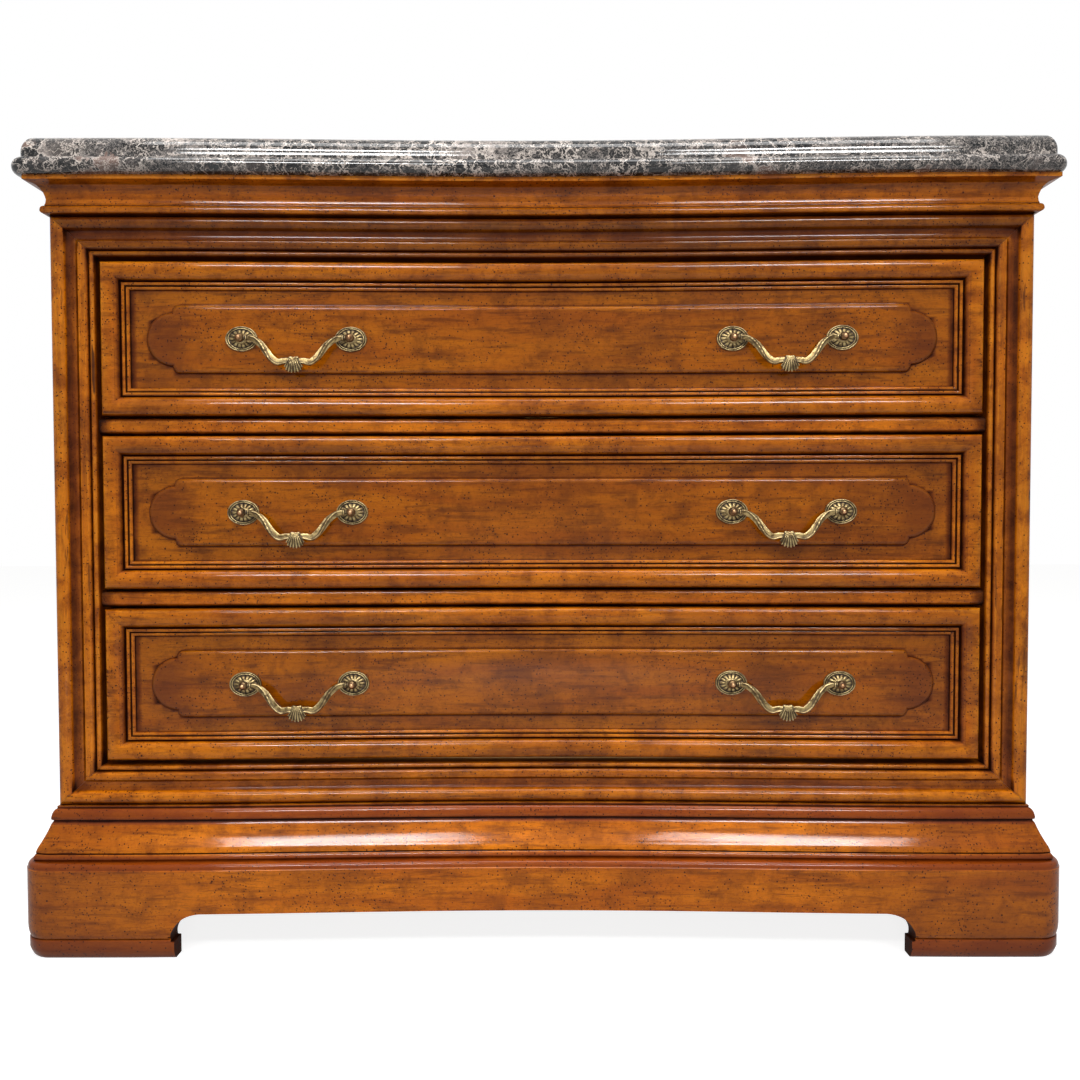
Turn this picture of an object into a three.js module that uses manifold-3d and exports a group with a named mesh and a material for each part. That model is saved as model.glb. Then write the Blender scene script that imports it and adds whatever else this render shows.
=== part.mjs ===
// A commode chest: a marble slab over three drawers in a moulded frame, on a plinth with bracket feet.
// Millimetres, +Z up. The front faces -Y. The origin is on the floor under the middle of the chest.
// The front is hollowed a little in the middle, and the slab, mouldings, drawers and plinth all follow it.
import * as THREE from "three";
import { mergeVertices } from "three/addons/utils/BufferGeometryUtils.js";
import Module from "manifold-3d";

const wasm = await Module();
wasm.setup();

// Overall
const chestWidth = 1118; // over the plinth
const chestDepth = 508; // plinth front to the back of the chest
const overhang = 30.5; // plinth past the case, at the front and the two sides
const caseHalf = chestWidth / 2 - overhang;
const frontY = -chestDepth / 2 + overhang; // front plane of the case at its ends
const backY = chestDepth / 2;

// The hollow of the front, as seen from above
const hollowDepth = 12;
const hollowMargin = 48.5; // the hollow starts this far in from the case's sides
const hollowHalf = caseHalf - hollowMargin;

// Drawers, and the rails and gaps round them
const drawerCount = 3;
const drawerHeight = 166.7;
const frameGap = 4.5; // drawer front to frame
const railGap = 1.6; // drawer front to the rail over or under it
const railHeight = 18.5;
const railDepth = 50;
const railInset = 12; // rail's face behind the front plane
const railRounding = 7;
const drawerPitch = drawerHeight + railHeight + railGap + railGap;
const openingHeight = drawerHeight + (drawerCount - 1) * drawerPitch + frameGap + frameGap;

// The moulded frame round the drawers
const stileWidth = 46.5;
const frameRailWidth = 43;
const frameThickness = 38; // crown to the flat back
const frameRelief = 12;

// Heights of the parts of the case, from the floor up
const plinthHeight = 103.5;
const baseHeight = 54.2;
const corniceHeight = 36.3;
const slabThickness = 43.5;
const baseTopZ = plinthHeight + baseHeight;
const openingBottomZ = baseTopZ + frameRailWidth;
const frameTopZ = openingBottomZ + openingHeight + frameRailWidth;
const corniceTopZ = frameTopZ + corniceHeight;

// Boards and the small gaps between them
const boardThickness = 19;
const dustThickness = 12;
const backThickness = 6;
const jointGap = 0.3; // between cut or turned neighbours
const slideGap = 0.3; // between a drawer's sides and what they slide on
const overrun = 20; // cutters past the faces that they cut

// Drawer fronts
const frontInset = 5; // crown of the edge moulding behind the front plane
const frontThickness = 34; // crown to the flat back
const edgeWidth = 33;
const edgeRelief = 11; // crown of the moulding to the field
const panelEndMargin = 47.5; // raised panel to the end of the drawer front
const panelMargin = 45.75; // raised panel to the upper and lower edges
const panelRise = 4;
const panelBevel = 5;
const panelSink = 2; // the panel's body inside the field
const panelEndSagitta = 28; // how far the round end stands out past its cusps
const panelNotchDrop = 7.75;
const panelNotchLength = 5.5;

// Drawer boxes
const boxSideThickness = 12;
const boxSideInset = 6; // side behind the end of the drawer front
const boxTopClearance = 26.5; // top of the sides below the top of the drawer front
const boxBottomThickness = 6;
const boxBackClearance = 16; // drawer back to the back panel of the case
const guideWidth = 38;
const guideHeight = 10;
const guideGap = 1; // round the guide, in the notch of the drawer back
const guideClearance = 3.3; // guide to the drawer bottom over it

// Pulls
const pullFromEnd = 210.5; // middle of a pull from the end of the drawer front
const postSpacing = 118;
const rosetteWidth = 35;
const rosetteHeight = 27.3;
const rosetteRim = 2.4;
const rosetteDome = 4.2;
const postRadius = 3.4;
const postReach = 10.5; // middle of the ball from the drawer front
const ballRadius = 5;
const knobRadius = 3;
const knobReach = 15.5;
const boltRadius = 2;
const boltPast = 1; // bolt past its nut
const nutRadius = 5;
const nutHeight = 4;
const pinRadius = 2;
const pinHoleDepth = 4;
const roundGap = 0.35; // between a pin or bolt and its hole
const bailDrop = 27;
const bailBulge = 6; // middle of the bail further forward than its ends
const bailBroad = 3.6; // half the breadth of the leaf-shaped arms
const bailThin = 2.3; // half their thickness
const shellWidth = 19.5;
const shellHeight = 17;
const shellThickness = 7;
const shellLobes = 7;

// The slab, which lies a little to the left on the case
const slabReach = 27.5; // slab past the case, at the front and both ends
const slabShift = -3;
const slabBeadHeight = 18.2;
const slabStep = 9.2; // bead past the upper part
const slabUpright = 6.4; // upright part of the edge over the bead
const slabRound = 20; // depth of the quarter-round over it
const slabCornerRadius = 18;
const slabHalf = caseHalf + slabReach;
const slabFrontY = frontY - slabReach;

// The cornice and the base moulding
const corniceReach = 17.7;
const baseReach = 21.5; // lowest bead of the base moulding past the case
const baseInner = 40; // the base frame reaches this far inside the case's outer faces

// The plinth
const plinthThickness = 24;
const plinthCornerRadius = 29.5;
const archHeight = 49.5;
const footWidth = 165.8;
const footCurve = 27.1; // length of the foot's cut where it meets the arch
const sideFootWidth = 135;
const padHeight = 21.7; // the band along the bottom of each foot
const padInset = 1.5;
const padRoundDepth = 7; // rounding of its lower edge
const padRoundHeight = 11;
const easeInset = 2; // lower edge of the board inside its face
const easeHeight = 14.3;
const plinthRoundDepth = 8.5; // rounding of the upper edge
const plinthRoundHeight = 7;

// Numbers of steps in curves
const hollowSteps = 12;
const profileSteps = 3;
const edgeSteps = 2;
const slabSteps = 4;
const cornerSteps = 4;
const archSteps = 4;
const panelSteps = 7;
const roundSides = 10;
const boltSides = 6;
const bailSteps = 20;
const bailSides = 6;

// Distance that the hollow sets the front back, at a place across the chest.
function hollow(x) {
  return Math.abs(x) < hollowHalf ? hollowDepth * Math.cos((Math.PI * x) / (2 * hollowHalf)) ** 2 : 0;
}

// Places across the front where a piece bends, from one end of the span to the other.
function stations(half) {
  const inner = Math.min(half, hollowHalf);
  const places = [];
  for (let i = 0; i <= hollowSteps; i++) places.push(-inner + (2 * inner * i) / hollowSteps);
  if (half > hollowHalf) {
    places.unshift(-half);
    places.push(half);
  }
  return places;
}

// A curved profile. Each row of shares is a straight line to a point, or a curve given by its control
// point and its end. The first share is of the width, the second of the height.
function profile(start, rows, wide, high, steps = profileSteps) {
  const path = new THREE.Path();
  path.moveTo(start[0] * wide, start[1] * high);
  for (const row of rows) {
    if (row.length === 2) path.lineTo(row[0] * wide, row[1] * high);
    else path.quadraticCurveTo(row[0] * wide, row[1] * high, row[2] * wide, row[3] * high);
  }
  return path.getPoints(steps);
}

// Triangles that fill a flat outline, as numbers of its points, turned the way that the outline runs.
function fill(outline) {
  const triangles = THREE.ShapeUtils.triangulateShape(outline, []);
  return THREE.ShapeUtils.isClockWise(outline) ? triangles.map((corners) => corners.reverse()) : triangles;
}

// Triangles across an outline that runs out along one edge and back along the other.
function bridge(count) {
  const triangles = [];
  for (let i = 0; i < count / 2 - 1; i++) {
    const j = count - 1 - i;
    triangles.push([i, i + 1, j - 1], [i, j - 1, j]);
  }
  return triangles;
}

// A closed solid over a row of outlines with equally many points: walls from each outline to the next,
// and the same end triangles over the first and the last.
function skin(outlines, ends) {
  const count = outlines[0].length;
  const last = (outlines.length - 1) * count;
  const points = outlines.flat();
  const triangles = [];
  for (let i = 0; i < last; i += count) {
    for (let j = 0; j < count; j++) {
      const k = (j + 1) % count;
      triangles.push([i + j, i + k, i + count + k], [i + j, i + count + k, i + count + j]);
    }
  }
  for (const [a, b, c] of ends) triangles.push([c, b, a], [last + a, last + b, last + c]);
  const joined = mergeVertices(new THREE.BufferGeometry().setFromPoints(points).setIndex(triangles.flat()));
  const place = joined.getAttribute("position");
  const whole = [];
  let volume = 0;
  const corners = [new THREE.Vector3(), new THREE.Vector3(), new THREE.Vector3()];
  for (let i = 0; i < joined.index.count; i += 3) {
    const [a, b, c] = joined.index.array.slice(i, i + 3);
    if (a === b || b === c || c === a) continue;
    whole.push(a, b, c);
    [a, b, c].forEach((n, m) => corners[m].fromBufferAttribute(place, n));
    volume += corners[0].dot(corners[1].clone().cross(corners[2]));
  }
  joined.setIndex(volume < 0 ? whole.reverse() : whole);
  joined.computeVertexNormals();
  return joined;
}

// A rectangular board whose corners are exactly where they are stated, so that neighbours meet flush.
function board(x0, x1, y0, y1, z0, z1) {
  const box = new THREE.BoxGeometry();
  const place = box.getAttribute("position");
  for (let i = 0; i < place.count; i++) {
    const [x, y, z] = [place.getX(i), place.getY(i), place.getZ(i)];
    place.setXYZ(i, x < 0 ? x0 : x1, y < 0 ? y0 : y1, z < 0 ? z0 : z1);
  }
  return box;
}

// A geometry as a solid that can be cut and joined, and back.
function toSolid(geometry) {
  const shape = geometry.clone();
  shape.deleteAttribute("normal");
  shape.deleteAttribute("uv");
  const merged = mergeVertices(shape);
  return new wasm.Manifold(
    new wasm.Mesh({
      numProp: 3,
      vertProperties: new Float32Array(merged.getAttribute("position").array),
      triVerts: new Uint32Array(merged.index.array),
    }),
  );
}

function toGeometry(solid) {
  const mesh = solid.getMesh();
  const geometry = new THREE.BufferGeometry();
  geometry.setAttribute("position", new THREE.BufferAttribute(mesh.vertProperties, 3));
  geometry.setIndex(new THREE.BufferAttribute(mesh.triVerts, 1));
  geometry.computeVertexNormals();
  return geometry;
}

const woodColour = 0xa9611c;
const insideColour = 0xc9a273;
const brassColour = 0x8f7a4c;
const marbleColour = 0x4a4745;
const lacquered = 0.3;
const bare = 0.7;
const polished = 0.15;
const aged = 0.45;
const chest = new THREE.Group();

function add(name, geometry, colour, roughness, metalness, parent = chest) {
  const material = new THREE.MeshStandardMaterial({ color: colour, roughness, metalness });
  const mesh = new THREE.Mesh(geometry, material);
  mesh.name = name;
  parent.add(mesh);
  return mesh;
}

function addWood(name, geometry) {
  add(name, geometry, woodColour, lacquered, 0);
}

function addInside(name, geometry) {
  add(name, geometry, insideColour, bare, 0);
}

// Mouldings run along the left side, across the front and along the right side. A place on this walk
// round the case is given at any distance out from the case's faces. Past cornerFrom, a corner is round.
function walkSide(side, y) {
  return (out) => [side * (caseHalf + out), y];
}

// Behind the case's front plane the pieces are flat, so only what is in front of it is hollowed.
function walkFront(x) {
  return (out) => [x, frontY - out + (out < 0 ? 0 : hollow(x))];
}

function walkCorner(side, turn, cornerFrom) {
  return (out) => {
    const from = Math.min(cornerFrom, out);
    const radius = out - from;
    const x = caseHalf + from + radius * Math.sin(turn);
    return [side * x, frontY - from - radius * Math.cos(turn)];
  };
}

function cornerWalk(side, cornerFrom, fromTurn, toTurn) {
  const walk = [];
  for (let i = 0; i <= cornerSteps; i++) {
    walk.push(walkCorner(side, fromTurn + ((toTurn - fromTurn) * i) / cornerSteps, cornerFrom));
  }
  return walk;
}

function mouldingAlong(walk, outline) {
  const flat = outline.map((p) => new THREE.Vector2(p.x, p.y));
  const outlines = walk.map((at) => outline.map((p) => new THREE.Vector3(...at(p.x), p.y)));
  return skin(outlines, fill(flat));
}

// The front length of a moulding ends on both mitres, and each side length starts there and runs to the back.
// A joint gap is left on the side lengths.
function addMouldings(name, frontSection, sideSection, cornerFrom) {
  const frontWalk = stations(hollowHalf).map(walkFront);
  const rounded = Number.isFinite(cornerFrom);
  const half = Math.PI / 4;
  if (rounded) {
    frontWalk.unshift(...cornerWalk(-1, cornerFrom, half, 0));
    frontWalk.push(...cornerWalk(1, cornerFrom, 0, half));
  } else {
    frontWalk.unshift(walkCorner(-1, 0, Infinity));
    frontWalk.push(walkCorner(1, 0, Infinity));
  }
  addWood(name + "_front", mouldingAlong(frontWalk, frontSection));
  for (const [side, word] of [[-1, "_left"], [1, "_right"]]) {
    const roundWalk = () => cornerWalk(side, cornerFrom, half, Math.PI / 2);
    const sideWalk = rounded ? roundWalk() : [walkCorner(side, 0, Infinity)];
    const moved = sideWalk.map((at) => (out) => [at(out)[0], at(out)[1] + jointGap * Math.SQRT2]);
    moved.push(walkSide(side, backY));
    addWood(name + word, mouldingAlong(moved, sideSection));
  }
}

// The marble slab: one outline of the plan for each level of its edge, closer in as the edge rounds over.
function slabOutline(inset, z) {
  const radius = Math.max(slabCornerRadius - inset, 0);
  const middleX = slabHalf - inset - radius;
  const middleY = slabFrontY + inset + radius;
  const corner = (side, turn) =>
    new THREE.Vector3(side * (middleX + radius * Math.sin(turn)), middleY - radius * Math.cos(turn), z);
  const turns = [];
  for (let i = 0; i <= cornerSteps; i++) turns.push((Math.PI * i) / (2 * cornerSteps));
  const front = stations(hollowHalf).map((x) => new THREE.Vector3(x, slabFrontY + inset + hollow(x), z));
  const left = turns.toReversed().map((turn) => corner(-1, turn));
  const right = turns.map((turn) => corner(1, turn));
  const backLeft = new THREE.Vector3(inset - slabHalf, backY, z);
  const backRight = new THREE.Vector3(slabHalf - inset, backY, z);
  return [backLeft, ...left, ...front, ...right, backRight];
}

function makeSlab() {
  const levels = [];
  const beadRadius = slabBeadHeight / 2;
  for (let i = 0; i <= slabSteps; i++) {
    const turn = (Math.PI * i) / slabSteps;
    levels.push([beadRadius * (1 - Math.sin(turn)), beadRadius * (1 - Math.cos(turn))]);
  }
  levels.push([slabStep, slabBeadHeight]);
  const roundZ = slabBeadHeight + slabUpright;
  const roundRise = slabThickness - roundZ;
  for (let i = 0; i <= slabSteps; i++) {
    const turn = (Math.PI * i) / (2 * slabSteps);
    levels.push([slabStep + slabRound * (1 - Math.cos(turn)), roundZ + roundRise * Math.sin(turn)]);
  }
  const outlines = levels.map(([inset, rise]) => slabOutline(inset, corniceTopZ + rise));
  return skin(outlines, fill(outlines[0].map((p) => new THREE.Vector2(p.x, p.y))));
}

add("marble_top", makeSlab().translate(slabShift, 0, 0), marbleColour, polished, 0);

// The cornice: from its bead at the bottom, out through a cove to the fillet under the slab.
const corniceStartShares = [0, 0];
const corniceShares = [
  [0.2, 0],
  [0.36, 0.02, 0.295, 0.124],
  [0.22, 0.25, 0.057, 0.38],
  [0.04, 0.43],
  [0.147, 0.722, 0.52, 0.815],
  [0.93, 0.872],
  [1, 0.88],
  [1, 1],
  [0, 1],
];
const corniceOutline = profile(corniceStartShares, corniceShares, corniceReach, corniceHeight);
const cornicePlaced = corniceOutline.map((p) => new THREE.Vector2(p.x, frameTopZ + p.y));
const corniceInner = [corniceTopZ, frameTopZ].map((z) => new THREE.Vector2(-frameThickness, z));
addMouldings("cornice", [...cornicePlaced, ...corniceInner], cornicePlaced, Infinity);

// The base moulding: a bead under the frame, then an ogee out to a step on the plinth.
const baseStartShares = [0, 0];
const baseShares = [
  [0.93, 0],
  [1.05, 0.06, 0.93, 0.125],
  [0.9, 0.135],
  [0.874, 0.208, 0.726, 0.295],
  [0.419, 0.487, 0.251, 0.664],
  [0.167, 0.723],
  [0.288, 0.749, 0.228, 0.819],
  [0.186, 0.915, 0.047, 0.948],
  [0, 0.955],
  [0, 1],
];
const baseOutline = profile(baseStartShares, baseShares, baseReach, baseHeight);
const basePlaced = baseOutline.map((p) => new THREE.Vector2(p.x, plinthHeight + p.y));
basePlaced.push(new THREE.Vector2(-baseInner, baseTopZ), new THREE.Vector2(-baseInner, plinthHeight));
addMouldings("base_moulding", basePlaced, basePlaced, Infinity);

// The plinth boards: the plan of each board, cut by the outline of its feet and arch.
const archShares = [
  [0, 0.39],
  [-0.15, 0.39],
  [-0.18, 0.6, 0.08, 0.735],
  [0.2, 0.97, 1, 1],
];

function archOutline(halfLength, foot) {
  const inner = halfLength - foot;
  const side = new THREE.Path();
  side.moveTo(inner, -overrun);
  for (const row of archShares) {
    const places = [];
    for (let i = 0; i < row.length; i += 2) places.push(inner - footCurve * row[i], archHeight * row[i + 1]);
    if (row.length === 2) side.lineTo(...places);
    else side.quadraticCurveTo(...places);
  }
  const right = side.getPoints(archSteps);
  const left = right.map((p) => new THREE.Vector2(-p.x, p.y)).reverse();
  return new THREE.Shape([...right, ...left]);
}

function archCutter(halfLength, foot, length) {
  const outline = archOutline(halfLength, foot);
  return new THREE.ExtrudeGeometry(outline, { depth: length, bevelEnabled: false }).rotateX(Math.PI / 2);
}

const plinthInner = overhang - plinthThickness;
const plinthCornerFrom = overhang - plinthCornerRadius;

function plinthSectionPoints() {
  const roundZ = plinthHeight - plinthRoundHeight;
  const easeZ = padHeight + easeHeight;
  const face = new THREE.Path();
  face.moveTo(plinthInner, 0);
  face.lineTo(overhang - padInset - padRoundDepth, 0);
  face.quadraticCurveTo(overhang - padInset, 0, overhang - padInset, padRoundHeight);
  face.lineTo(overhang - padInset, padHeight);
  face.lineTo(overhang - easeInset, padHeight);
  face.quadraticCurveTo(overhang, padHeight + easeHeight / 2, overhang, easeZ);
  face.lineTo(overhang, roundZ);
  face.quadraticCurveTo(overhang, plinthHeight, overhang - plinthRoundDepth, plinthHeight);
  face.lineTo(plinthInner, plinthHeight);
  return face.getPoints(profileSteps);
}

const plinthSection = plinthSectionPoints();
addMouldings("plinth", plinthSection, plinthSection, plinthCornerFrom);

function cutNode(name, cutter) {
  const mesh = chest.children.find((child) => child.name === name);
  mesh.geometry = toGeometry(toSolid(mesh.geometry).subtract(toSolid(cutter)));
}

const frontArch = archCutter(chestWidth / 2, footWidth, chestDepth);
cutNode("plinth_front", frontArch);
const sideArch = archCutter(chestDepth / 2, sideFootWidth, chestWidth);
sideArch.rotateZ(Math.PI / 2);
sideArch.translate(-chestWidth / 2, 0, 0);
cutNode("plinth_left", sideArch);
cutNode("plinth_right", sideArch);

// The board across the back of the plinth, up to the bottom of the case.
const plinthInnerHalf = caseHalf + plinthInner - jointGap;
const baseInnerHalf = caseHalf - baseInner - jointGap;
const backBoardFrontY = backY - boardThickness;
const lowBoard = board(-plinthInnerHalf, plinthInnerHalf, backBoardFrontY, backY, 0, plinthHeight - jointGap);
const highBoard = board(-baseInnerHalf, baseInnerHalf, backBoardFrontY, backY, plinthHeight / 2, baseTopZ);
const backBoard = toSolid(lowBoard).add(toSolid(highBoard));
const backArch = archCutter(plinthInnerHalf, footWidth, chestDepth);
backArch.translate(0, chestDepth, 0);
add("plinth_back", toGeometry(backBoard.subtract(toSolid(backArch))), insideColour, bare, 0);

// The frame: shares are from its outer edge towards the drawers, and from its face back.
const frameStartShares = [0, 0.72];
const frameShares = [
  [0, 0.1, 0.17, 0],
  [0.3, 0, 0.345, 0.42],
  [0.4, 0.92, 0.6, 0.6],
  [0.63, 0.5],
  [0.76, 0.5, 0.83, 0.76],
  [0.85, 0.9],
  [0.855, 0.62, 0.92, 0.6],
  [0.985, 0.6, 1, 0.98],
];

// Rails and stiles differ in width and still meet on their mitres, so the across stays a share here.
const frameOutline = profile(frameStartShares, frameShares, 1, frameRelief);
frameOutline.push(new THREE.Vector2(1, frameThickness), new THREE.Vector2(0, frameThickness));

// A rail of the frame. Its ends lie on the mitres, so it is shorter towards the drawers.
function frameRail(edgeZ, inwards) {
  const outlines = stations(caseHalf).map((x) =>
    frameOutline.map((p) => {
      const across = (x * (caseHalf - p.x * stileWidth - jointGap)) / caseHalf;
      const back = p.y === frameThickness;
      return new THREE.Vector3(across, frontY + p.y + (back ? 0 : hollow(across)), edgeZ + inwards * p.x);
    }),
  );
  return skin(outlines, fill(frameOutline));
}

function frameStile(side) {
  const outlines = [-1, 1].map((end) =>
    frameOutline.map((p) => {
      const z = end < 0 ? baseTopZ + p.x * frameRailWidth : frameTopZ - p.x * frameRailWidth;
      return new THREE.Vector3(side * (caseHalf - p.x * stileWidth), frontY + p.y, z);
    }),
  );
  return skin(outlines, fill(frameOutline));
}

addWood("frame_top_rail", frameRail(frameTopZ, -frameRailWidth));
addWood("frame_bottom_rail", frameRail(baseTopZ, frameRailWidth));
addWood("frame_stile_left", frameStile(-1));
addWood("frame_stile_right", frameStile(1));

// The case behind the frame
const openingHalf = caseHalf - stileWidth;
const caseFrontY = frontY + frameThickness;
const insideHalf = caseHalf - boardThickness;
const backPanelY = backY - backThickness;
const topPanelZ = corniceTopZ - boardThickness;

// Lowest edge of a drawer front, with drawer 1 at the top, and the top of what the drawer runs on.
function drawerBottomOf(number) {
  return openingBottomZ + frameGap + (drawerCount - number) * drawerPitch;
}

function floorOf(number) {
  return drawerBottomOf(number) - railGap;
}

// A panel that a drawer runs on, with the guide that keeps the drawer straight.
const railBackY = frontY + railInset + railDepth;
const guideHalf = guideWidth / 2;

function addRunning(name, fromY, underZ, topZ) {
  const panel = toSolid(board(-insideHalf, insideHalf, fromY, backPanelY, underZ, topZ));
  const guide = toSolid(board(-guideHalf, guideHalf, railBackY, backPanelY, underZ, topZ + guideHeight));
  addInside(name, toGeometry(panel.add(guide)));
}

const lowestFloorZ = floorOf(drawerCount);
const bottomPanelZ = lowestFloorZ - boardThickness;
addWood("case_side_left", board(-caseHalf, -insideHalf, caseFrontY, backY, baseTopZ, topPanelZ));
addWood("case_side_right", board(insideHalf, caseHalf, caseFrontY, backY, baseTopZ, topPanelZ));
addInside("case_top_panel", board(-caseHalf, caseHalf, caseFrontY, backY, topPanelZ, corniceTopZ));
addRunning("case_bottom_panel", caseFrontY, bottomPanelZ, lowestFloorZ);
addInside("case_back_panel", board(-insideHalf, insideHalf, backPanelY, backY, baseTopZ, topPanelZ));

// Rails between the drawers, with the dust panels behind them
const railRoundShare = 0.35; // upright part of the rail's face, as a share of its height

function railOutline() {
  const high = railHeight / 2;
  const upper = new THREE.Path();
  upper.moveTo(0, high * railRoundShare);
  upper.quadraticCurveTo(0, high, railRounding, high);
  const half = upper.getPoints(profileSteps);
  const lower = half.map((p) => new THREE.Vector2(p.x, -p.y)).reverse();
  return [...lower, ...half, new THREE.Vector2(railDepth, high), new THREE.Vector2(railDepth, -high)];
}

function makeRail(middleZ) {
  const outline = railOutline();
  const outlines = stations(openingHalf - jointGap).map((x) =>
    outline.map((p) => {
      const bend = p.x === railDepth ? 0 : hollow(x);
      return new THREE.Vector3(x, frontY + railInset + p.x + bend, middleZ + p.y);
    }),
  );
  return skin(outlines, fill(outline));
}

for (let number = 1; number < drawerCount; number++) {
  const topZ = floorOf(number);
  addWood("drawer_rail_" + number, makeRail(topZ - railHeight / 2));
  addRunning("dust_panel_" + number, railBackY, topZ - dustThickness, topZ);
}

// Drawers
const drawerHalf = openingHalf - frameGap;
const crownY = frontY + frontInset;
const drawerBackY = crownY + frontThickness; // flat back of the drawer front
const fieldY = crownY + edgeRelief;
const boxEndY = backPanelY - boxBackClearance;
const boxHalf = drawerHalf - boxSideInset;
const panelHalfLength = drawerHalf - panelEndMargin;
const panelHalfHeight = drawerHeight / 2 - panelMargin;

// The moulding glued round a drawer front: shares from the front's edge inwards, and from the crown back.
const edgeStartShares = [0, 0.8];
const edgeShares = [
  [0, 0.14, 0.13, 0.06],
  [0.3, -0.06, 0.46, 0.12],
  [0.6, 0.28, 0.63, 0.74],
  [0.67, 0.78],
  [0.68, 0.58],
  [0.76, 0.58],
  [0.78, 0.72],
  [0.9, 0.74, 0.94, 0.93],
  [0.94, 0.97],
  [0, 0.97],
];
const edgeOutline = profile(edgeStartShares, edgeShares, edgeWidth, edgeRelief, edgeSteps);

// An outline of a drawer front at one line of its moulding: out along the top edge, back along the bottom.
function frontOutline(inset, y, middleZ, follow) {
  const half = drawerHalf - inset;
  const high = drawerHeight / 2 - inset;
  const across = stations(drawerHalf).map((x) => (x * half) / drawerHalf);
  const at = (x, z) => new THREE.Vector3(x, y + (follow ? hollow(x) : 0), middleZ + z);
  return [...across.map((x) => at(x, high)), ...across.reverse().map((x) => at(x, -high))];
}

// Half the height of the raised panel at each place along it, with a round end and a notch at each cusp.
function panelColumns(inset) {
  const half = panelHalfLength - inset;
  const high = panelHalfHeight - inset;
  const cusp = panelHalfHeight - panelNotchDrop;
  const radius = (cusp ** 2 + panelEndSagitta ** 2) / (2 * panelEndSagitta);
  const widest = Math.asin(cusp / radius);
  const columns = [];
  for (let i = 0; i <= panelSteps; i++) {
    const turn = (widest * i) / panelSteps;
    const round = (radius - inset) * Math.sin(turn);
    columns.push([-half + (radius - inset) * (1 - Math.cos(turn)), round]);
  }
  const [cuspX, cuspZ] = columns[panelSteps];
  columns.push([cuspX + panelNotchLength / 2, (cuspZ + high) / 2]);
  columns.push([cuspX + panelNotchLength, high]);
  const straightHalf = -(cuspX + panelNotchLength);
  for (let i = 1; i < hollowSteps; i++) columns.push([straightHalf * ((2 * i) / hollowSteps - 1), high]);
  const left = columns.filter(([x]) => x <= -straightHalf);
  return [...columns, ...left.reverse().map(([x, z]) => [-x, z])];
}

function panelOutline(inset, y, middleZ) {
  const columns = panelColumns(inset);
  const at = (x, z) => new THREE.Vector3(x, y + hollow(x), middleZ + z);
  return [...columns.map(([x, z]) => at(x, z)), ...columns.reverse().map(([x, z]) => at(x, -z))];
}

const panelBevelShare = 1 / 3; // upright part of the panel's edge, as a share of its rise

function makeEdge(middleZ) {
  const outlines = edgeOutline.map((p) => frontOutline(p.x, crownY + p.y, middleZ, true));
  return skin([...outlines, outlines[0]], []);
}

function makeFront(middleZ) {
  const outlines = [
    frontOutline(0, drawerBackY, middleZ, false),
    frontOutline(0, fieldY, middleZ, true),
    frontOutline(edgeWidth, fieldY, middleZ, true),
  ];
  const front = toSolid(skin(outlines, bridge(outlines[0].length)));
  const steps = [
    [0, fieldY + panelSink],
    [0, fieldY - panelRise * panelBevelShare],
    [panelBevel, fieldY - panelRise],
  ];
  const panels = steps.map(([inset, y]) => panelOutline(inset, y, middleZ));
  return toGeometry(front.add(toSolid(skin(panels, bridge(panels[0].length)))));
}

// A pull's own frame: on the face of the raised panel, turned to sit on its hollow.
function pullFrame(side, middleZ) {
  const x = side * (drawerHalf - pullFromEnd);
  const left = hollow(x - postSpacing / 2);
  const right = hollow(x + postSpacing / 2);
  const frame = new THREE.Group();
  frame.position.set(x, fieldY - panelRise + (left + right) / 2 - jointGap, middleZ);
  frame.rotation.z = Math.atan2(right - left, postSpacing);
  frame.updateMatrix();
  return frame;
}

// A round bar from one distance in front of the face to another. Less than zero is behind the face.
function bar(radius, from, to, sides) {
  const round = new THREE.CylinderGeometry(radius, radius, to - from, sides);
  return round.translate(0, -(from + to) / 2, 0);
}

// Rosette: shares of its half height, and of the height of its rim.
const rimShares = [
  [0, 0],
  [1, 0],
  [1, 0.55],
  [0.93, 1],
  [0.85, 0.6],
];
const domeShare = 0.5; // the flat top of its dome, as a share of its half height

// A rosette, its post with ball and knob, and the bolt and nut behind the drawer front.
function makePost(x, behind) {
  const radius = rosetteHeight / 2;
  const points = rimShares.map(([r, h]) => new THREE.Vector2(r * radius, h * rosetteRim));
  points.push(new THREE.Vector2(domeShare * radius, rosetteDome), new THREE.Vector2(0, rosetteDome));
  const plate = new THREE.LatheGeometry(points, roundSides);
  plate.rotateX(Math.PI);
  plate.scale(rosetteWidth / rosetteHeight, 1, 1);
  const ball = new THREE.SphereGeometry(ballRadius, roundSides, roundSides / 2).rotateX(Math.PI / 2);
  const knob = new THREE.SphereGeometry(knobRadius, boltSides, boltSides / 2).rotateX(Math.PI / 2);
  const nutFront = -behind - jointGap - jointGap;
  const nutBack = nutFront - nutHeight;
  const parts = [
    bar(postRadius, rosetteRim, postReach, boltSides),
    ball.translate(0, -postReach, 0),
    knob.translate(0, -knobReach, 0),
    bar(boltRadius, nutBack - boltPast, rosetteRim, boltSides),
    bar(nutRadius, nutBack, nutFront, boltSides),
  ];
  let post = toSolid(plate);
  for (const part of parts) post = post.add(toSolid(part));
  const holeRadius = pinRadius + roundGap;
  const pinHole = new THREE.CylinderGeometry(holeRadius, holeRadius, overrun, bailSides);
  pinHole.rotateZ(Math.PI / 2);
  pinHole.translate(-Math.sign(x) * (ballRadius - pinHoleDepth + overrun / 2), -postReach, 0);
  return toGeometry(post.subtract(toSolid(pinHole))).translate(x, 0, 0);
}

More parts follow.
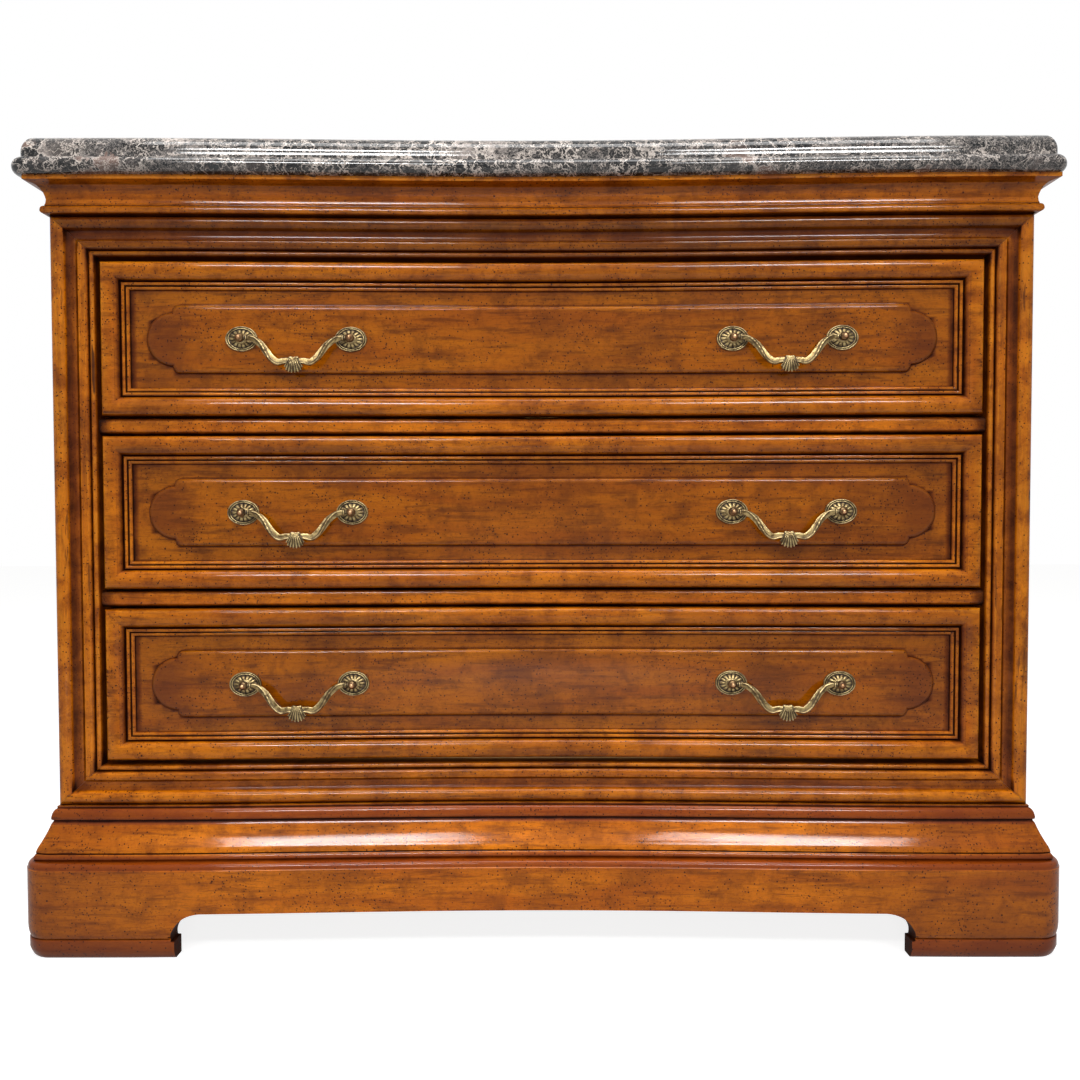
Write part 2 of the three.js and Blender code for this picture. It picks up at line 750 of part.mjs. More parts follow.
// Middle line of a bail from its middle to a post: shares of half its span, of its drop and of its bulge.
const bailShares = [
  [0, 0.95, 1],
  [0.18, 0.96, 1],
  [0.3, 1, 0.98],
  [0.41, 0.84, 0.9],
  [0.5, 0.6, 0.72],
  [0.61, 0.29, 0.42],
  [0.75, 0.07, 0.12],
  [0.86, 0, 0],
  [1, 0, 0],
];
const pinShare = 0.88; // the arms swell into leaves up to here, and past it they are round pins
const leafPowerShare = 0.6;

function makeBail() {
  const reach = postSpacing / 2 - (ballRadius - pinHoleDepth) - jointGap;
  const half = bailShares.map(([across, down, out]) => {
    return new THREE.Vector3(across * reach, -postReach - out * bailBulge, -down * bailDrop);
  });
  const left = half.slice(1).map((p) => new THREE.Vector3(-p.x, p.y, p.z));
  const line = new THREE.CatmullRomCurve3([...left.reverse(), ...half]);
  const circle = [];
  for (let i = 0; i < bailSides; i++) {
    const turn = (2 * Math.PI * i) / bailSides;
    circle.push(new THREE.Vector2(Math.cos(turn), Math.sin(turn)));
  }
  const outlines = [];
  for (let i = 0; i <= bailSteps; i++) {
    const at = line.getPointAt(i / bailSteps);
    const ahead = line.getTangentAt(i / bailSteps);
    const up = new THREE.Vector3(-ahead.z, 0, ahead.x).normalize();
    const away = new THREE.Vector3().crossVectors(up, ahead).normalize();
    const middle = Math.abs(at.x) / reach;
    const swell = middle > pinShare ? 0 : Math.sin((Math.PI * middle) / pinShare) ** leafPowerShare;
    const broad = pinRadius + (bailBroad - pinRadius) * swell;
    const thin = pinRadius + (bailThin - pinRadius) * swell;
    outlines.push(
      circle.map((p) => at.clone().addScaledVector(up, broad * p.x).addScaledVector(away, thin * p.y)),
    );
  }
  const arms = toSolid(skin(outlines, fill(circle)));
  return toGeometry(arms.add(toSolid(makeShell())));
}

// The shell at the middle of a bail: a fan with a lobe at the end of each flute.
const shellSpreadShare = 0.62; // angle of the fan, as a share of half a turn
const shellTopShare = 0.35; // part of the shell over the lowest line of the bail
const lobeShare = 0.12; // depth of the notches between the lobes

function makeShell() {
  const fan = new THREE.Shape();
  const spread = shellSpreadShare * Math.PI;
  const total = 2 * shellLobes;
  const widest = 2 * Math.sin(spread / 2);
  fan.moveTo(0, 0);
  for (let i = 0; i <= total; i++) {
    const turn = -spread / 2 + (spread * i) / total;
    const lobe = i % 2 === 0 ? 1 - lobeShare : 1;
    fan.lineTo((Math.sin(turn) * shellWidth * lobe) / widest, -Math.cos(turn) * shellHeight * lobe);
  }
  fan.closePath();
  const solid = new THREE.ExtrudeGeometry(fan, { depth: shellThickness, bevelEnabled: false });
  solid.rotateX(Math.PI / 2);
  const y = shellThickness / 2 - postReach - bailBulge;
  return solid.translate(0, y, shellHeight * shellTopShare - bailDrop);
}

// A drawer: its front on four boards, over a guide, with two pulls bolted through the front.
for (let number = 1; number <= drawerCount; number++) {
  const name = "drawer_" + number + "_";
  const floorZ = floorOf(number);
  const middleZ = drawerBottomOf(number) + drawerHeight / 2;
  const sideZ = floorZ + slideGap;
  const sideTopZ = middleZ + drawerHeight / 2 - boxTopClearance;
  const bottomZ = floorZ + guideHeight + guideClearance;
  const bottomTopZ = bottomZ + boxBottomThickness;
  const innerHalf = boxHalf - boxSideThickness;
  const boxBackY = boxEndY - boxSideThickness;
  addInside(name + "side_left", board(-boxHalf, -innerHalf, drawerBackY, boxEndY, sideZ, sideTopZ));
  addInside(name + "side_right", board(innerHalf, boxHalf, drawerBackY, boxEndY, sideZ, sideTopZ));
  addInside(name + "bottom", board(-innerHalf, innerHalf, drawerBackY, boxBackY, bottomZ, bottomTopZ));
  const boxBack = toSolid(board(-innerHalf, innerHalf, boxBackY, boxEndY, sideZ, sideTopZ));
  const notchHalf = guideHalf + guideGap;
  const notchTopZ = floorZ + guideHeight + guideGap;
  const notchZ = floorZ - overrun;
  const notch = board(-notchHalf, notchHalf, boxBackY - overrun, boxEndY + overrun, notchZ, notchTopZ);
  addInside(name + "back", toGeometry(boxBack.subtract(toSolid(notch))));

  let front = toSolid(makeFront(middleZ));
  for (const [side, word] of [[-1, "left"], [1, "right"]]) {
    const pull = pullFrame(side, middleZ);
    chest.add(pull);
    for (const [end, ending] of [[-1, "_post_left"], [1, "_post_right"]]) {
      const x = (end * postSpacing) / 2;
      const behind = drawerBackY - pull.position.y - x * Math.sin(pull.rotation.z);
      add(name + word + ending, makePost(x, behind), brassColour, aged, 1, pull);
      const hole = bar(boltRadius + roundGap, -frontThickness - overrun, overrun, boltSides);
      hole.translate(x, 0, 0).applyMatrix4(pull.matrix);
      front = front.subtract(toSolid(hole));
    }
    add(name + word + "_bail", makeBail(), brassColour, aged, 1, pull);
  }
  addWood(name + "front", toGeometry(front));
  addWood(name + "moulding", makeEdge(middleZ));
}

export default chest;
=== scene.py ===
import math

import bpy
from mathutils import Matrix, Vector
from mathutils.bvhtree import BVHTree


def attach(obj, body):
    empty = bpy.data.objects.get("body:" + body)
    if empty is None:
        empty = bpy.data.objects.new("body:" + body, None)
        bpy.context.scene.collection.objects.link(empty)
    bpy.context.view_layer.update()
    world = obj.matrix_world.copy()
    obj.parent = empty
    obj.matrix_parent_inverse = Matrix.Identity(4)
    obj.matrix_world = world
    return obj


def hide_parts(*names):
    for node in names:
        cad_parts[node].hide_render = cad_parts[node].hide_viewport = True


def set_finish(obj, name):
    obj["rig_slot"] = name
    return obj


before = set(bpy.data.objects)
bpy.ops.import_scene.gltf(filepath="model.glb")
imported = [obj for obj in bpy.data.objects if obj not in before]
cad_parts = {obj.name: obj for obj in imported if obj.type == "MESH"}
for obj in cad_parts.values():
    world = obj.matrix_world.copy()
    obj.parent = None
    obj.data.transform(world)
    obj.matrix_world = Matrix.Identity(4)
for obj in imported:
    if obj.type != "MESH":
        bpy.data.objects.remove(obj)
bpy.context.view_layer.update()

# ----------------------------------------------------------
# Camera: in front of the chest, 1.3 m from its middle and at a little over half its height. It
# looks slightly down.
camera_data = bpy.data.cameras.new("camera")
camera_data.lens = 34.133
camera_data.sensor_width = 36
camera = bpy.data.objects.new("camera", camera_data)
bpy.context.collection.objects.link(camera)
camera.location = (0.0006, -1.3276, 0.4836)
camera.rotation_euler = (math.radians(88.09), math.radians(0.11), math.radians(0.14))
bpy.context.scene.camera = camera
bpy.context.scene.view_settings.view_transform = "Standard"

# ----------------------------------------------------------
# Studio: a white background, a soft grey one for the light that falls on matt surfaces, lamps
# high at the left, the right and the top with a dark space between them, and a pale floor.


def srgb(red, green, blue):
    """A colour as a linear one, from its 0 to 255 values."""
    shares = [c / 255 for c in (red, green, blue)]
    lights = [c / 12.92 if c < 0.04045 else ((c + 0.055) / 1.055) ** 2.4 for c in shares]
    return (*lights, 1.0)


class Value:
    """An output of a shader node, to reckon with: each sum or product adds its maths node."""

    def __init__(self, shader, socket):
        self.shader = shader
        self.socket = socket

    def math(self, operation, *others):
        inputs = dict(enumerate((self, *others)))
        return self.shader.add("Math", {"operation": operation}, inputs)

    def __add__(self, other):
        return self.math("ADD", other)

    def __sub__(self, other):
        return self.math("SUBTRACT", other)

    def __rsub__(self, other):
        return self.shader.add("Math", {"operation": "SUBTRACT"}, {0: other, 1: self})

    def __mul__(self, other):
        return self.math("MULTIPLY", other)

    __radd__ = __add__
    __rmul__ = __mul__

    def up_to(self, other):
        return self.math("MINIMUM", other)

    def at_least(self, other):
        return self.math("MAXIMUM", other)


class Shader:
    """A node tree, with one method that adds any node by its type, settings and inputs."""

    def __init__(self, tree):
        self.tree = tree
        tree.nodes.clear()

    def add(self, kind, settings=None, inputs=None, output=0):
        node = self.tree.nodes.new("ShaderNode" + kind)
        for name, value in (settings or {}).items():
            setattr(node, name, value)
        for key, value in (inputs or {}).items():
            if isinstance(value, Value):
                self.tree.links.new(value.socket, node.inputs[key])
            else:
                node.inputs[key].default_value = value
        return None if output is None else Value(self, node.outputs[output])

    def mix(self, factor, first, second, blend="MIX"):
        settings = {"data_type": "RGBA", "blend_type": blend, "clamp_factor": True}
        return self.add("Mix", settings, {0: factor, 6: first, 7: second}, 2)

    def ramp(self, value, low, high, start=0.0, end=1.0):
        """The value as a share of the way from low to high, eased at both ends."""
        settings = {"interpolation_type": "SMOOTHSTEP"}
        inputs = {"Value": value, "From Min": low, "From Max": high, "To Min": start, "To Max": end}
        return self.add("MapRange", settings, inputs)

    def noise(self, place, scale, detail=2.0, roughness=0.5, distortion=0.0):
        inputs = {"Vector": place, "Scale": scale, "Detail": detail, "Roughness": roughness}
        return self.add("TexNoise", {}, {**inputs, "Distortion": distortion})

    def cells(self, place, scale, feature="F1", output="Distance"):
        inputs = {"Vector": place, "Scale": scale}
        return self.add("TexVoronoi", {"feature": feature}, inputs, output)

    def chance(self, place, scale, channel=0):
        """A number of its own for each cell of a net, from 0 to 1."""
        return self.add("SeparateColor", {}, {0: self.cells(place, scale, "F1", "Color")}, channel)

    def bump(self, height, distance, strength=1.0):
        return self.add("Bump", {}, {"Height": height, "Distance": distance, "Strength": strength})

    def finish(self, inputs):
        """Ends a material in one surface with these inputs."""
        surface = self.add("BsdfPrincipled", {}, inputs)
        self.add("OutputMaterial", {}, {"Surface": surface}, None)


def material(name):
    made = bpy.data.materials.new(name)
    made.use_nodes = True
    return made, Shader(made.node_tree)


def backdrop_rays(shader):
    """1 for the rays that show the backdrop: those of the camera, of gloss and through glass."""
    camera_ray = shader.add("LightPath", output="Is Camera Ray")
    gloss_ray = shader.add("LightPath", output="Is Glossy Ray")
    glass_ray = shader.add("LightPath", output="Is Transmission Ray")
    return camera_ray.at_least(gloss_ray).at_least(glass_ray)


world = bpy.data.worlds.new("studio")
bpy.context.scene.world = world
world.use_nodes = True
air = Shader(world.node_tree)
white = air.add("Background", {}, {"Color": (1, 1, 1, 1), "Strength": 1.0})
soft = air.add("Background", {}, {"Color": (1.0, 0.985, 0.96, 1), "Strength": 0.26})
surround = air.add("MixShader", {}, {0: backdrop_rays(air), 1: soft, 2: white})
air.add("OutputWorld", {}, {"Surface": surround}, None)


def softbox(name, place, aim, wide, high, power):
    lamp_data = bpy.data.lights.new(name, "AREA")
    lamp_data.shape = "RECTANGLE"
    lamp_data.size = wide
    lamp_data.size_y = high
    lamp_data.energy = power
    lamp = bpy.data.objects.new(name, lamp_data)
    bpy.context.collection.objects.link(lamp)
    lamp.location = place
    lamp.rotation_euler = (Vector(aim) - Vector(place)).to_track_quat("-Z", "Y").to_euler()
    return lamp


softbox("key_left", (-0.6, -2.3, 2.1), (-0.1, -0.2, 0.4), 0.62, 0.24, 16)
softbox("key_right", (0.75, -2.3, 2.1), (0.1, -0.2, 0.4), 0.62, 0.24, 16)
softbox("key_top", (0.0, -0.8, 2.8), (0.0, -0.2, 0.4), 2.2, 1.0, 58)
for x, wide in ((-0.6, 0.85), (0.75, 0.95)):
    sheen = softbox("sheen", (x, -2.3, 2.05), (x / 4, -0.2, 0.45), wide, 0.36, 32)
    sheen.visible_diffuse = False
fill = softbox("fill", (0.0, -2.2, 0.3), (0.0, -0.2, 0.02), 0.4, 0.3, 11)
fill.visible_glossy = False

bpy.ops.mesh.primitive_plane_add(size=14, location=(0, 0, 0))
floor = bpy.context.object
floor.name = "floor"
floor_material, shader = material("floor")
paper = shader.add("BsdfDiffuse", {}, {"Color": (0.5, 0.5, 0.5, 1)})
glow = shader.add("Emission", {}, {"Color": (1, 1, 1, 1), "Strength": 0.84})
lit = shader.add("AddShader", {}, {0: paper, 1: glow})
dull = shader.add("BsdfDiffuse", {}, {"Color": (0.09, 0.085, 0.08, 1)})
surface = shader.add("MixShader", {}, {0: backdrop_rays(shader), 1: dull, 2: lit})
shader.add("OutputMaterial", {}, {"Surface": surface}, None)
floor.data.materials.append(floor_material)

# ----------------------------------------------------------
# Plinth: three boards of cherry with bracket feet cut into their lower edge, mitred at the
# rounded corners. Each foot ends in a pad a little proud of the eased board over it. All the
# outer wood has the same amber lacquer, darkened in the mouldings and where parts meet by a
# glaze and by painted shade, and each piece gets its own lighter or darker tint as painted light.
CASE = 0.5285  # half the width of the case
FRONT = -0.2235  # front plane of the case at its ends
BACK = 0.254
HOLLOW_HALF = 0.48
HOLLOW = 0.012  # depth of the hollow in the middle of the front
GAP = 0.00015  # half of the joint between mitred lengths
SIDE_GAP = 0.0004  # how far a side length stays behind the front one
SIDES = ((-1, "left"), (1, "right"))


def hollow(x):
    """How far the hollow sets the front back, at a place across the chest."""
    return HOLLOW * math.cos(math.pi * x / (2 * HOLLOW_HALF)) ** 2 if abs(x) < HOLLOW_HALF else 0.0


def specks(shader, place, scale, share, radius):
    """Round dots of a size, in a share of the cells of a net."""
    dot = shader.ramp(shader.cells(place, scale), radius, radius * 0.6)
    return dot * shader.ramp(shader.chance(place, scale), 1 - share, 1.01 - share)


def lacquered(name, grain, shade=(1, 1, 1, 1), bands=(), ends=(0.3, 0.5, 0.0)):
    """Amber lacquer over cherry whose grain runs along x, y or z (0, 1 or 2). The shade is painted
    light: it tints all of it, lighter or darker for a piece by how much light falls on it. Between
    the two heights of a band it is redder. From the first distance to the second across, it gets
    darker by the third value of the ends: painted shade."""
    made, shader = material(name)
    place = shader.add("TexCoord", output="Object")
    stretch = [1.0, 1.0, 1.0]
    stretch[grain] = 0.1
    along = shader.add("Mapping", {}, {"Vector": place, "Scale": stretch})
    figure = shader.noise(along, 38, 5, 0.6, 0.9)
    streaks = shader.noise(along, 150, 4, 0.65, 0.3)
    pores = shader.noise(along, 800, 2, 0.6, 0.0)
    clouds = shader.noise(place, 7, 4, 0.6, 0.4)
    mottle = shader.noise(place, 42, 5, 0.68, 0.4)
    grit = shader.noise(place, 300, 3, 0.7, 0.0)
    # glaze and painted shade: high in the hollows and where parts meet
    glaze_and_shade = shader.add("Attribute", {"attribute_name": "glaze_and_shade"}, {}, "Fac")
    wear = shader.add("Attribute", {"attribute_name": "wear"}, {}, "Fac")
    amber = shader.mix(shader.ramp(figure, 0.32, 0.68), srgb(206, 115, 7), srgb(174, 88, 4))
    for pattern, low, high, share, brown in (
        (clouds, 0.44, 0.68, 0.6, (132, 66, 4)),
        (mottle, 0.42, 0.7, 0.6, (112, 54, 4)),
        (streaks, 0.48, 0.68, 0.6, (94, 42, 4)),
        (pores, 0.54, 0.72, 0.35, (80, 28, 4)),
        (grit, 0.5, 0.74, 0.4, (86, 30, 4)),
    ):
        amber = shader.mix(shader.ramp(pattern, low, high) * share, amber, srgb(*brown))
    amber = shader.mix(wear * shader.ramp(mottle, 0.62, 0.36) * 0.55, amber, srgb(216, 134, 24))
    height = shader.add("SeparateXYZ", {}, {0: place}, 2)
    for low, high in bands:
        band = shader.ramp(height, low, low + 0.002) * shader.ramp(height, high, high - 0.002)
        amber = shader.mix(band * 0.75, amber, srgb(118, 46, 10))
    # Painted light and shade: the whole piece lighter or darker by how much light it catches.
    amber = shader.mix(1.0, amber, shade, "MULTIPLY")
    across = shader.add("SeparateXYZ", {}, {0: place}, 0).math("ABSOLUTE")
    # Painted shade: darker towards the ends across, where less light falls on the plinth and base,
    # and at the panel's round ends.
    amber = shader.mix(shader.ramp(across, ends[0], ends[1]) * ends[2], amber, srgb(92, 38, 5))
    thick = shader.ramp(shader.noise(place, 15, 3, 0.6, 0.0), 0.42, 0.6)
    spot = specks(shader, place, 280, 0.85, 0.28) * thick
    spot = spot.at_least(specks(shader, place, 190, 0.6, 0.2))
    spot = spot.at_least(specks(shader, place, 80, 0.2, 0.11))
    dent = shader.ramp(shader.noise(along, 110, 3, 0.7, 0.6), 0.6, 0.66) * wear
    spot = spot.at_least(dent.up_to(1.0))
    amber = shader.mix(spot * 0.9, amber, srgb(50, 15, 3))
    # Glaze and painted shade: redder, then near black, where that attribute is high.
    patchy = shader.ramp(mottle, 0.25, 0.7, 0.7, 1.2)
    dark = (glaze_and_shade * patchy * 1.6 - 0.12).at_least(0.0).up_to(1.0)
    amber = shader.mix((dark * 2.2).up_to(1.0) * 0.6, amber, srgb(112, 42, 4))
    colour = shader.mix(dark, amber, srgb(36, 12, 3))
    rough = shader.ramp(clouds, 0.3, 0.7, 0.26, 0.38) + glaze_and_shade * 0.1
    uneven = shader.noise(along, 70, 3, 0.6, 0.3)
    stipple = shader.noise(along, 380, 2, 0.6, 0.0)
    relief = uneven * 1.1 + stipple * 0.3 + pores * 0.1 + grit * 0.16 - spot * 0.35
    bump = shader.bump(relief, 0.0005, 0.7)
    inputs = {
        "Base Color": colour,
        "Roughness": rough,
        "Normal": bump,
        "Specular IOR Level": 0.02,
        "Coat Weight": 0.27 - dark * 0.22,
        "Coat Roughness": 0.08,
    }
    shader.finish(inputs)
    return made


RED_BANDS = [(-0.01, 0.0225), (0.0955, 0.1105), (0.1375, 0.1585)]  # pads, plinth top, round bead
# The plinth and base moulding: a lighter copy as painted light, darker towards the ends of the
# chest as painted shade.
low_across, low_deep = [
    lacquered("lacquer_low_" + way, grain, (1.12, 1.1, 1.0, 1), RED_BANDS, (0.28, 0.56, 0.5))
    for grain, way in enumerate(("across", "deep"))
]
# Painted shade: the faces inside each arch are dark brown, where shade falls under the board.
shade_cut_material, shader = material("arch_cut_painted_shade")
place = shader.add("TexCoord", output="Object")
ends = shader.noise(place, 220, 4, 0.6, 0.2)
cut_shade_colour = shader.mix(shader.ramp(ends, 0.3, 0.7), srgb(34, 14, 6), srgb(66, 28, 10))
bump = shader.bump(ends, 0.0004, 0.6)
rough = shader.ramp(ends, 0.2, 0.8, 0.6, 0.8)
shader.finish({"Base Color": cut_shade_colour, "Roughness": rough, "Normal": bump, "Specular IOR Level": 0.05})
glazed_and_shaded = []  # pieces that get the glaze and the painted shade once they are all in place


def open_up(piece):
    """Starts editing one piece, with all of it selected."""
    bpy.ops.object.select_all(action="DESELECT")
    piece.select_set(True)
    bpy.context.view_layer.objects.active = piece
    bpy.ops.object.mode_set(mode="EDIT")
    bpy.ops.mesh.select_mode(type="VERT")
    bpy.ops.mesh.select_all(action="SELECT")


def close():
    bpy.ops.object.mode_set(mode="OBJECT")


def pick(piece, kind, rule):
    """Starts editing a piece, with only the points, edges or faces selected that a rule picks."""
    open_up(piece)
    bpy.ops.mesh.select_all(action="DESELECT")
    bpy.ops.mesh.select_mode(type=kind)
    close()
    mesh = piece.data
    for part in {"VERT": mesh.vertices, "EDGE": mesh.edges, "FACE": mesh.polygons}[kind]:
        part.select = rule(part)
    bpy.ops.object.mode_set(mode="EDIT")


def clean(piece):
    """Merges doubled points and turns every face outwards."""
    open_up(piece)
    bpy.ops.mesh.remove_doubles(threshold=2e-6)
    bpy.ops.mesh.normals_make_consistent(inside=False)
    close()


def cut_blank(name, corners, fill="NGON"):
    """A flat blank with the given corners."""
    bpy.ops.mesh.primitive_circle_add(vertices=len(corners), fill_type=fill)
    blank = bpy.context.object
    blank.name = name
    for vertex, corner in zip(blank.data.vertices, corners):
        vertex.co = corner
    return blank


def draw_out(piece, way):
    """Draws a blank out into a closed length."""
    open_up(piece)
    bpy.ops.mesh.extrude_region_move(TRANSFORM_OT_translate={"value": way})
    close()


def divide(piece, cuts, axis):
    """Divides the edges that run along an axis, so that the length can bend."""

    def along(edge):
        start, end = [piece.data.vertices[i].co for i in edge.vertices]
        way = end - start
        return abs(way[axis]) > 0.999 * way.length and way.length > 1e-7

    pick(piece, "EDGE", along)
    bpy.ops.mesh.subdivide(number_cuts=cuts)
    close()


def saw(piece, place, way):
    """Saws off what lies past a plane, in the direction given, and closes the cut."""
    open_up(piece)
    bpy.ops.mesh.bisect(plane_co=place, plane_no=way, use_fill=True, clear_outer=True)
    close()


def score(piece, place, way):
    """Adds a line of points where a plane crosses a piece."""
    open_up(piece)
    bpy.ops.mesh.bisect(plane_co=place, plane_no=way)
    close()


def move_points(piece, rule):
    for vertex in piece.data.vertices:
        vertex.co = rule(vertex.co)


def follow_front(piece, flat_back=1.0):
    """Sets a front piece back along the hollow, except for a flat back at the place given."""

    def rule(at):
        return Vector((at.x, at.y + (0 if at.y > flat_back - 1e-5 else hollow(at.x)), at.z))

    move_points(piece, rule)


def fit(piece, node, body, slot, finish, angle=32):
    """Puts a finished piece in the place of its CAD node. Without a finish it keeps its own."""
    clean(piece)
    bpy.ops.object.shade_smooth_by_angle(angle=math.radians(angle))
    if finish:
        piece.data.materials.clear()
        piece.data.materials.append(finish)
    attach(piece, body)
    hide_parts(node)
    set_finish(piece, slot)
    if slot in ("lacquered_wood", "brass"):
        glazed_and_shaded.append(piece)


def profile(start, rows, wide, high, steps=7):
    """Points of a moulding in shares of its width and height. A row of two numbers runs straight
    to a point, and one of four curves to its last two, pulled by its first two."""
    points = [start]
    for row in rows:
        if len(row) == 2:
            points.append(row)
            continue
        x0, y0 = points[-1]
        for i in range(1, steps + 1):
            t = i / steps
            a, b, c = (1 - t) ** 2, 2 * t * (1 - t), t * t
            points.append((a * x0 + b * row[0] + c * row[2], a * y0 + b * row[1] + c * row[3]))
    return [(x * wide, y * high) for x, y in points]


SQUARE = 0.001  # how far a rounded corner's centre lies outside the case
ROUND_STEP = 0.0034  # between the lines of points in a rounded corner
SPARE = 0.05  # how much longer a moulding is before its mitres are sawn


def round_corner(at):
    """Eases the square corner of a moulding in plan, half of the way to a round one."""
    centre_x, centre_y = CASE + SQUARE, FRONT - SQUARE
    x, y = abs(at.x) - centre_x, centre_y - at.y
    if x <= 0 or y <= 0:
        return at
    share = (1 + max(x, y) / math.hypot(x, y)) / 2
    side = 1 if at.x > 0 else -1
    return Vector((side * (centre_x + x * share), centre_y - y * share, at.z))


def mitred(name, section, sides_section, rounded, finishes):
    """Three lengths round the case: the front one mitred at both ends, the sides at one. Sections
    are (out from the case, height), and rounded is the number of lines in a rounded corner."""
    far = CASE + SPARE
    front = cut_blank(name + "_front", [(-far, FRONT - out, z) for out, z in section])
    draw_out(front, (2 * far, 0, 0))
    divide(front, 60, 0)
    for side in (-1, 1):
        corner = Vector((side * (CASE - GAP), FRONT + GAP, 0))
        saw(front, corner, Vector((side, 1, 0)).normalized())
        for step in range(rounded):
            score(front, (side * (CASE + SQUARE + ROUND_STEP * step), 0, 0), (1, 0, 0))
    if rounded:
        move_points(front, round_corner)
    follow_front(front, 0)
    fit(front, name + "_front", "case", "lacquered_wood", finishes[0])
    for side, word in SIDES:
        start = FRONT - SPARE
        corners = [(side * (CASE + out), start, z) for out, z in sides_section]
        run = cut_blank(name + "_" + word, corners)
        draw_out(run, (0, BACK - start, 0))
        saw(run, Vector((side * CASE, FRONT + SIDE_GAP, 0)), Vector((-side, -1, 0)).normalized())
        divide(run, 12, 1)
        for step in range(rounded):
            score(run, (0, FRONT - SQUARE - ROUND_STEP * step, 0), (0, 1, 0))
        if rounded:
            move_points(run, round_corner)
        fit(run, name + "_" + word, "case", "lacquered_wood", finishes[1])


OVERHANG = 0.0305  # how far the plinth stands out from the case
PLINTH_TOP = 0.1035
PLINTH_THICK = 0.024
PLINTH_CORNER = 0.0295
ARCH = 0.0495  # height of the arches
PAD = 0.0217
FOOT = 0.1658  # length of a foot along the front
SIDE_FOOT = 0.135
ARCH_REACH = (0.3985, 0.1245)  # how far the arches reach across the front and along a side


def eased(out, up, wide, high, pull, steps=7):
    """A curve on the face of a board, from a place as far as wide and high say."""
    return [(out + x, up + y) for x, y in profile((0, 0), [(*pull, 1, 1)], wide, high, steps)]


plinth_face = [
    (OVERHANG - PLINTH_THICK, 0.0),
    *eased(OVERHANG - 0.0085, 0, 0.007, 0.0105, (0.55, 0.1)),
    *eased(OVERHANG - 0.0015, PAD - 0.0022, -0.0014, 0.0022, (0.1, 0.9), 4),
    (OVERHANG - 0.0034, PAD + 0.0004),
    *eased(OVERHANG - 0.0026, PAD + 0.0008, 0.0026, 0.0135, (0.9, 0.25)),
    (OVERHANG, PLINTH_TOP - 0.0078),
    *eased(OVERHANG - 0.0007, PLINTH_TOP - 0.0072, -0.0078, 0.0072, (0, 0.95)),
    (OVERHANG - PLINTH_THICK, PLINTH_TOP),
]
ARCH_ROWS = [(0, 0.39), (-0.13, 0.395), (-0.19, 0.55, -0.03, 0.67), (0.25, 0.97, 1, 1)]


def arch_outline(half_length, foot):
    """The cut between two feet as (across, height): a lip over each foot, then a curve up."""
    right = [(half_length - foot - x, y) for x, y in profile((0, -0.2), ARCH_ROWS, 0.0271, ARCH, 8)]
    return right + [(-x, y) for x, y in reversed(right)]


def cut_arch(piece, outline, axis):
    """Cuts the arch through a plinth board along the axis, with a cutter longer than the chest."""
    if axis == 1:
        cutter = cut_blank("arch_cutter", [(x, -0.4, z) for x, z in outline])
        draw_out(cutter, (0, 0.8, 0))
    else:
        cutter = cut_blank("arch_cutter", [(-0.7, y, z) for y, z in outline])
        draw_out(cutter, (1.4, 0, 0))
    clean(cutter)
    clean(piece)
    cut = piece.modifiers.new("arch", "BOOLEAN")
    cut.operation = "DIFFERENCE"
    cut.solver = "EXACT"
    cut.object = cutter
    bpy.ops.object.modifier_apply(modifier="arch")  # the piece is still the active one
    bpy.data.objects.remove(cutter)


def shade_arch_cut(piece, axis):
    """Gives the sawn faces of the arch, which look inwards, and its faces that look down or form
    the small ledge a dark brown: painted shade.
    """
    piece.data.materials.append(shade_cut_material)
    for face in piece.data.polygons:
        middle, way = face.center, face.normal
        inside = middle.z < ARCH + 0.0005 and abs(middle[axis]) < ARCH_REACH[axis]
        under = way.z < -0.3 and middle.z > PAD + 0.002
        ledge = way.z > 0.9 and 0.015 < middle.z < 0.02
        if inside and (under or ledge or abs(way[axis]) > 0.5):
            face.material_index = 1


def round_end(piece, place, centre, turn):
    """Turns the end face of a plinth board at a place round the corner's centre."""
    axis = 0 if abs(place[0]) > 0 else 1
    pick(piece, "VERT", lambda vertex: abs(vertex.co[axis] - place[axis]) < 1e-6)
    bpy.ops.mesh.spin(steps=6, angle=-turn, center=centre, axis=(0, 0, 1))
    close()


corner_x = CASE + OVERHANG - PLINTH_CORNER
corner_y = FRONT - (OVERHANG - PLINTH_CORNER)
plinth_front = cut_blank("plinth_front", [(-corner_x, FRONT - out, z) for out, z in plinth_face])
draw_out(plinth_front, (2 * corner_x, 0, 0))
divide(plinth_front, 48, 0)
for side in (-1, 1):
    centre = (side * corner_x, corner_y, 0)
    round_end(plinth_front, (side * corner_x, 0, 0), centre, side * math.pi / 4)
cut_arch(plinth_front, arch_outline(CASE + OVERHANG, FOOT), 1)
follow_front(plinth_front)
fit(plinth_front, "plinth_front", "case", "lacquered_wood", low_across)
shade_arch_cut(plinth_front, 0)
for side, word in SIDES:
    name = "plinth_" + word
    board = cut_blank(name, [(side * (CASE + out), corner_y, z) for out, z in plinth_face])
    draw_out(board, (0, BACK - corner_y, 0))
    divide(board, 24, 1)
    round_end(board, (0, corner_y, 0), (side * corner_x, corner_y, 0), -side * math.pi / 4)
    move_points(board, lambda at: Vector((at.x, at.y + SIDE_GAP * (at.y < FRONT), at.z)))
    cut_arch(board, arch_outline(BACK, SIDE_FOOT), 0)
    fit(board, name, "case", "lacquered_wood", low_deep)
    shade_arch_cut(board, 1)

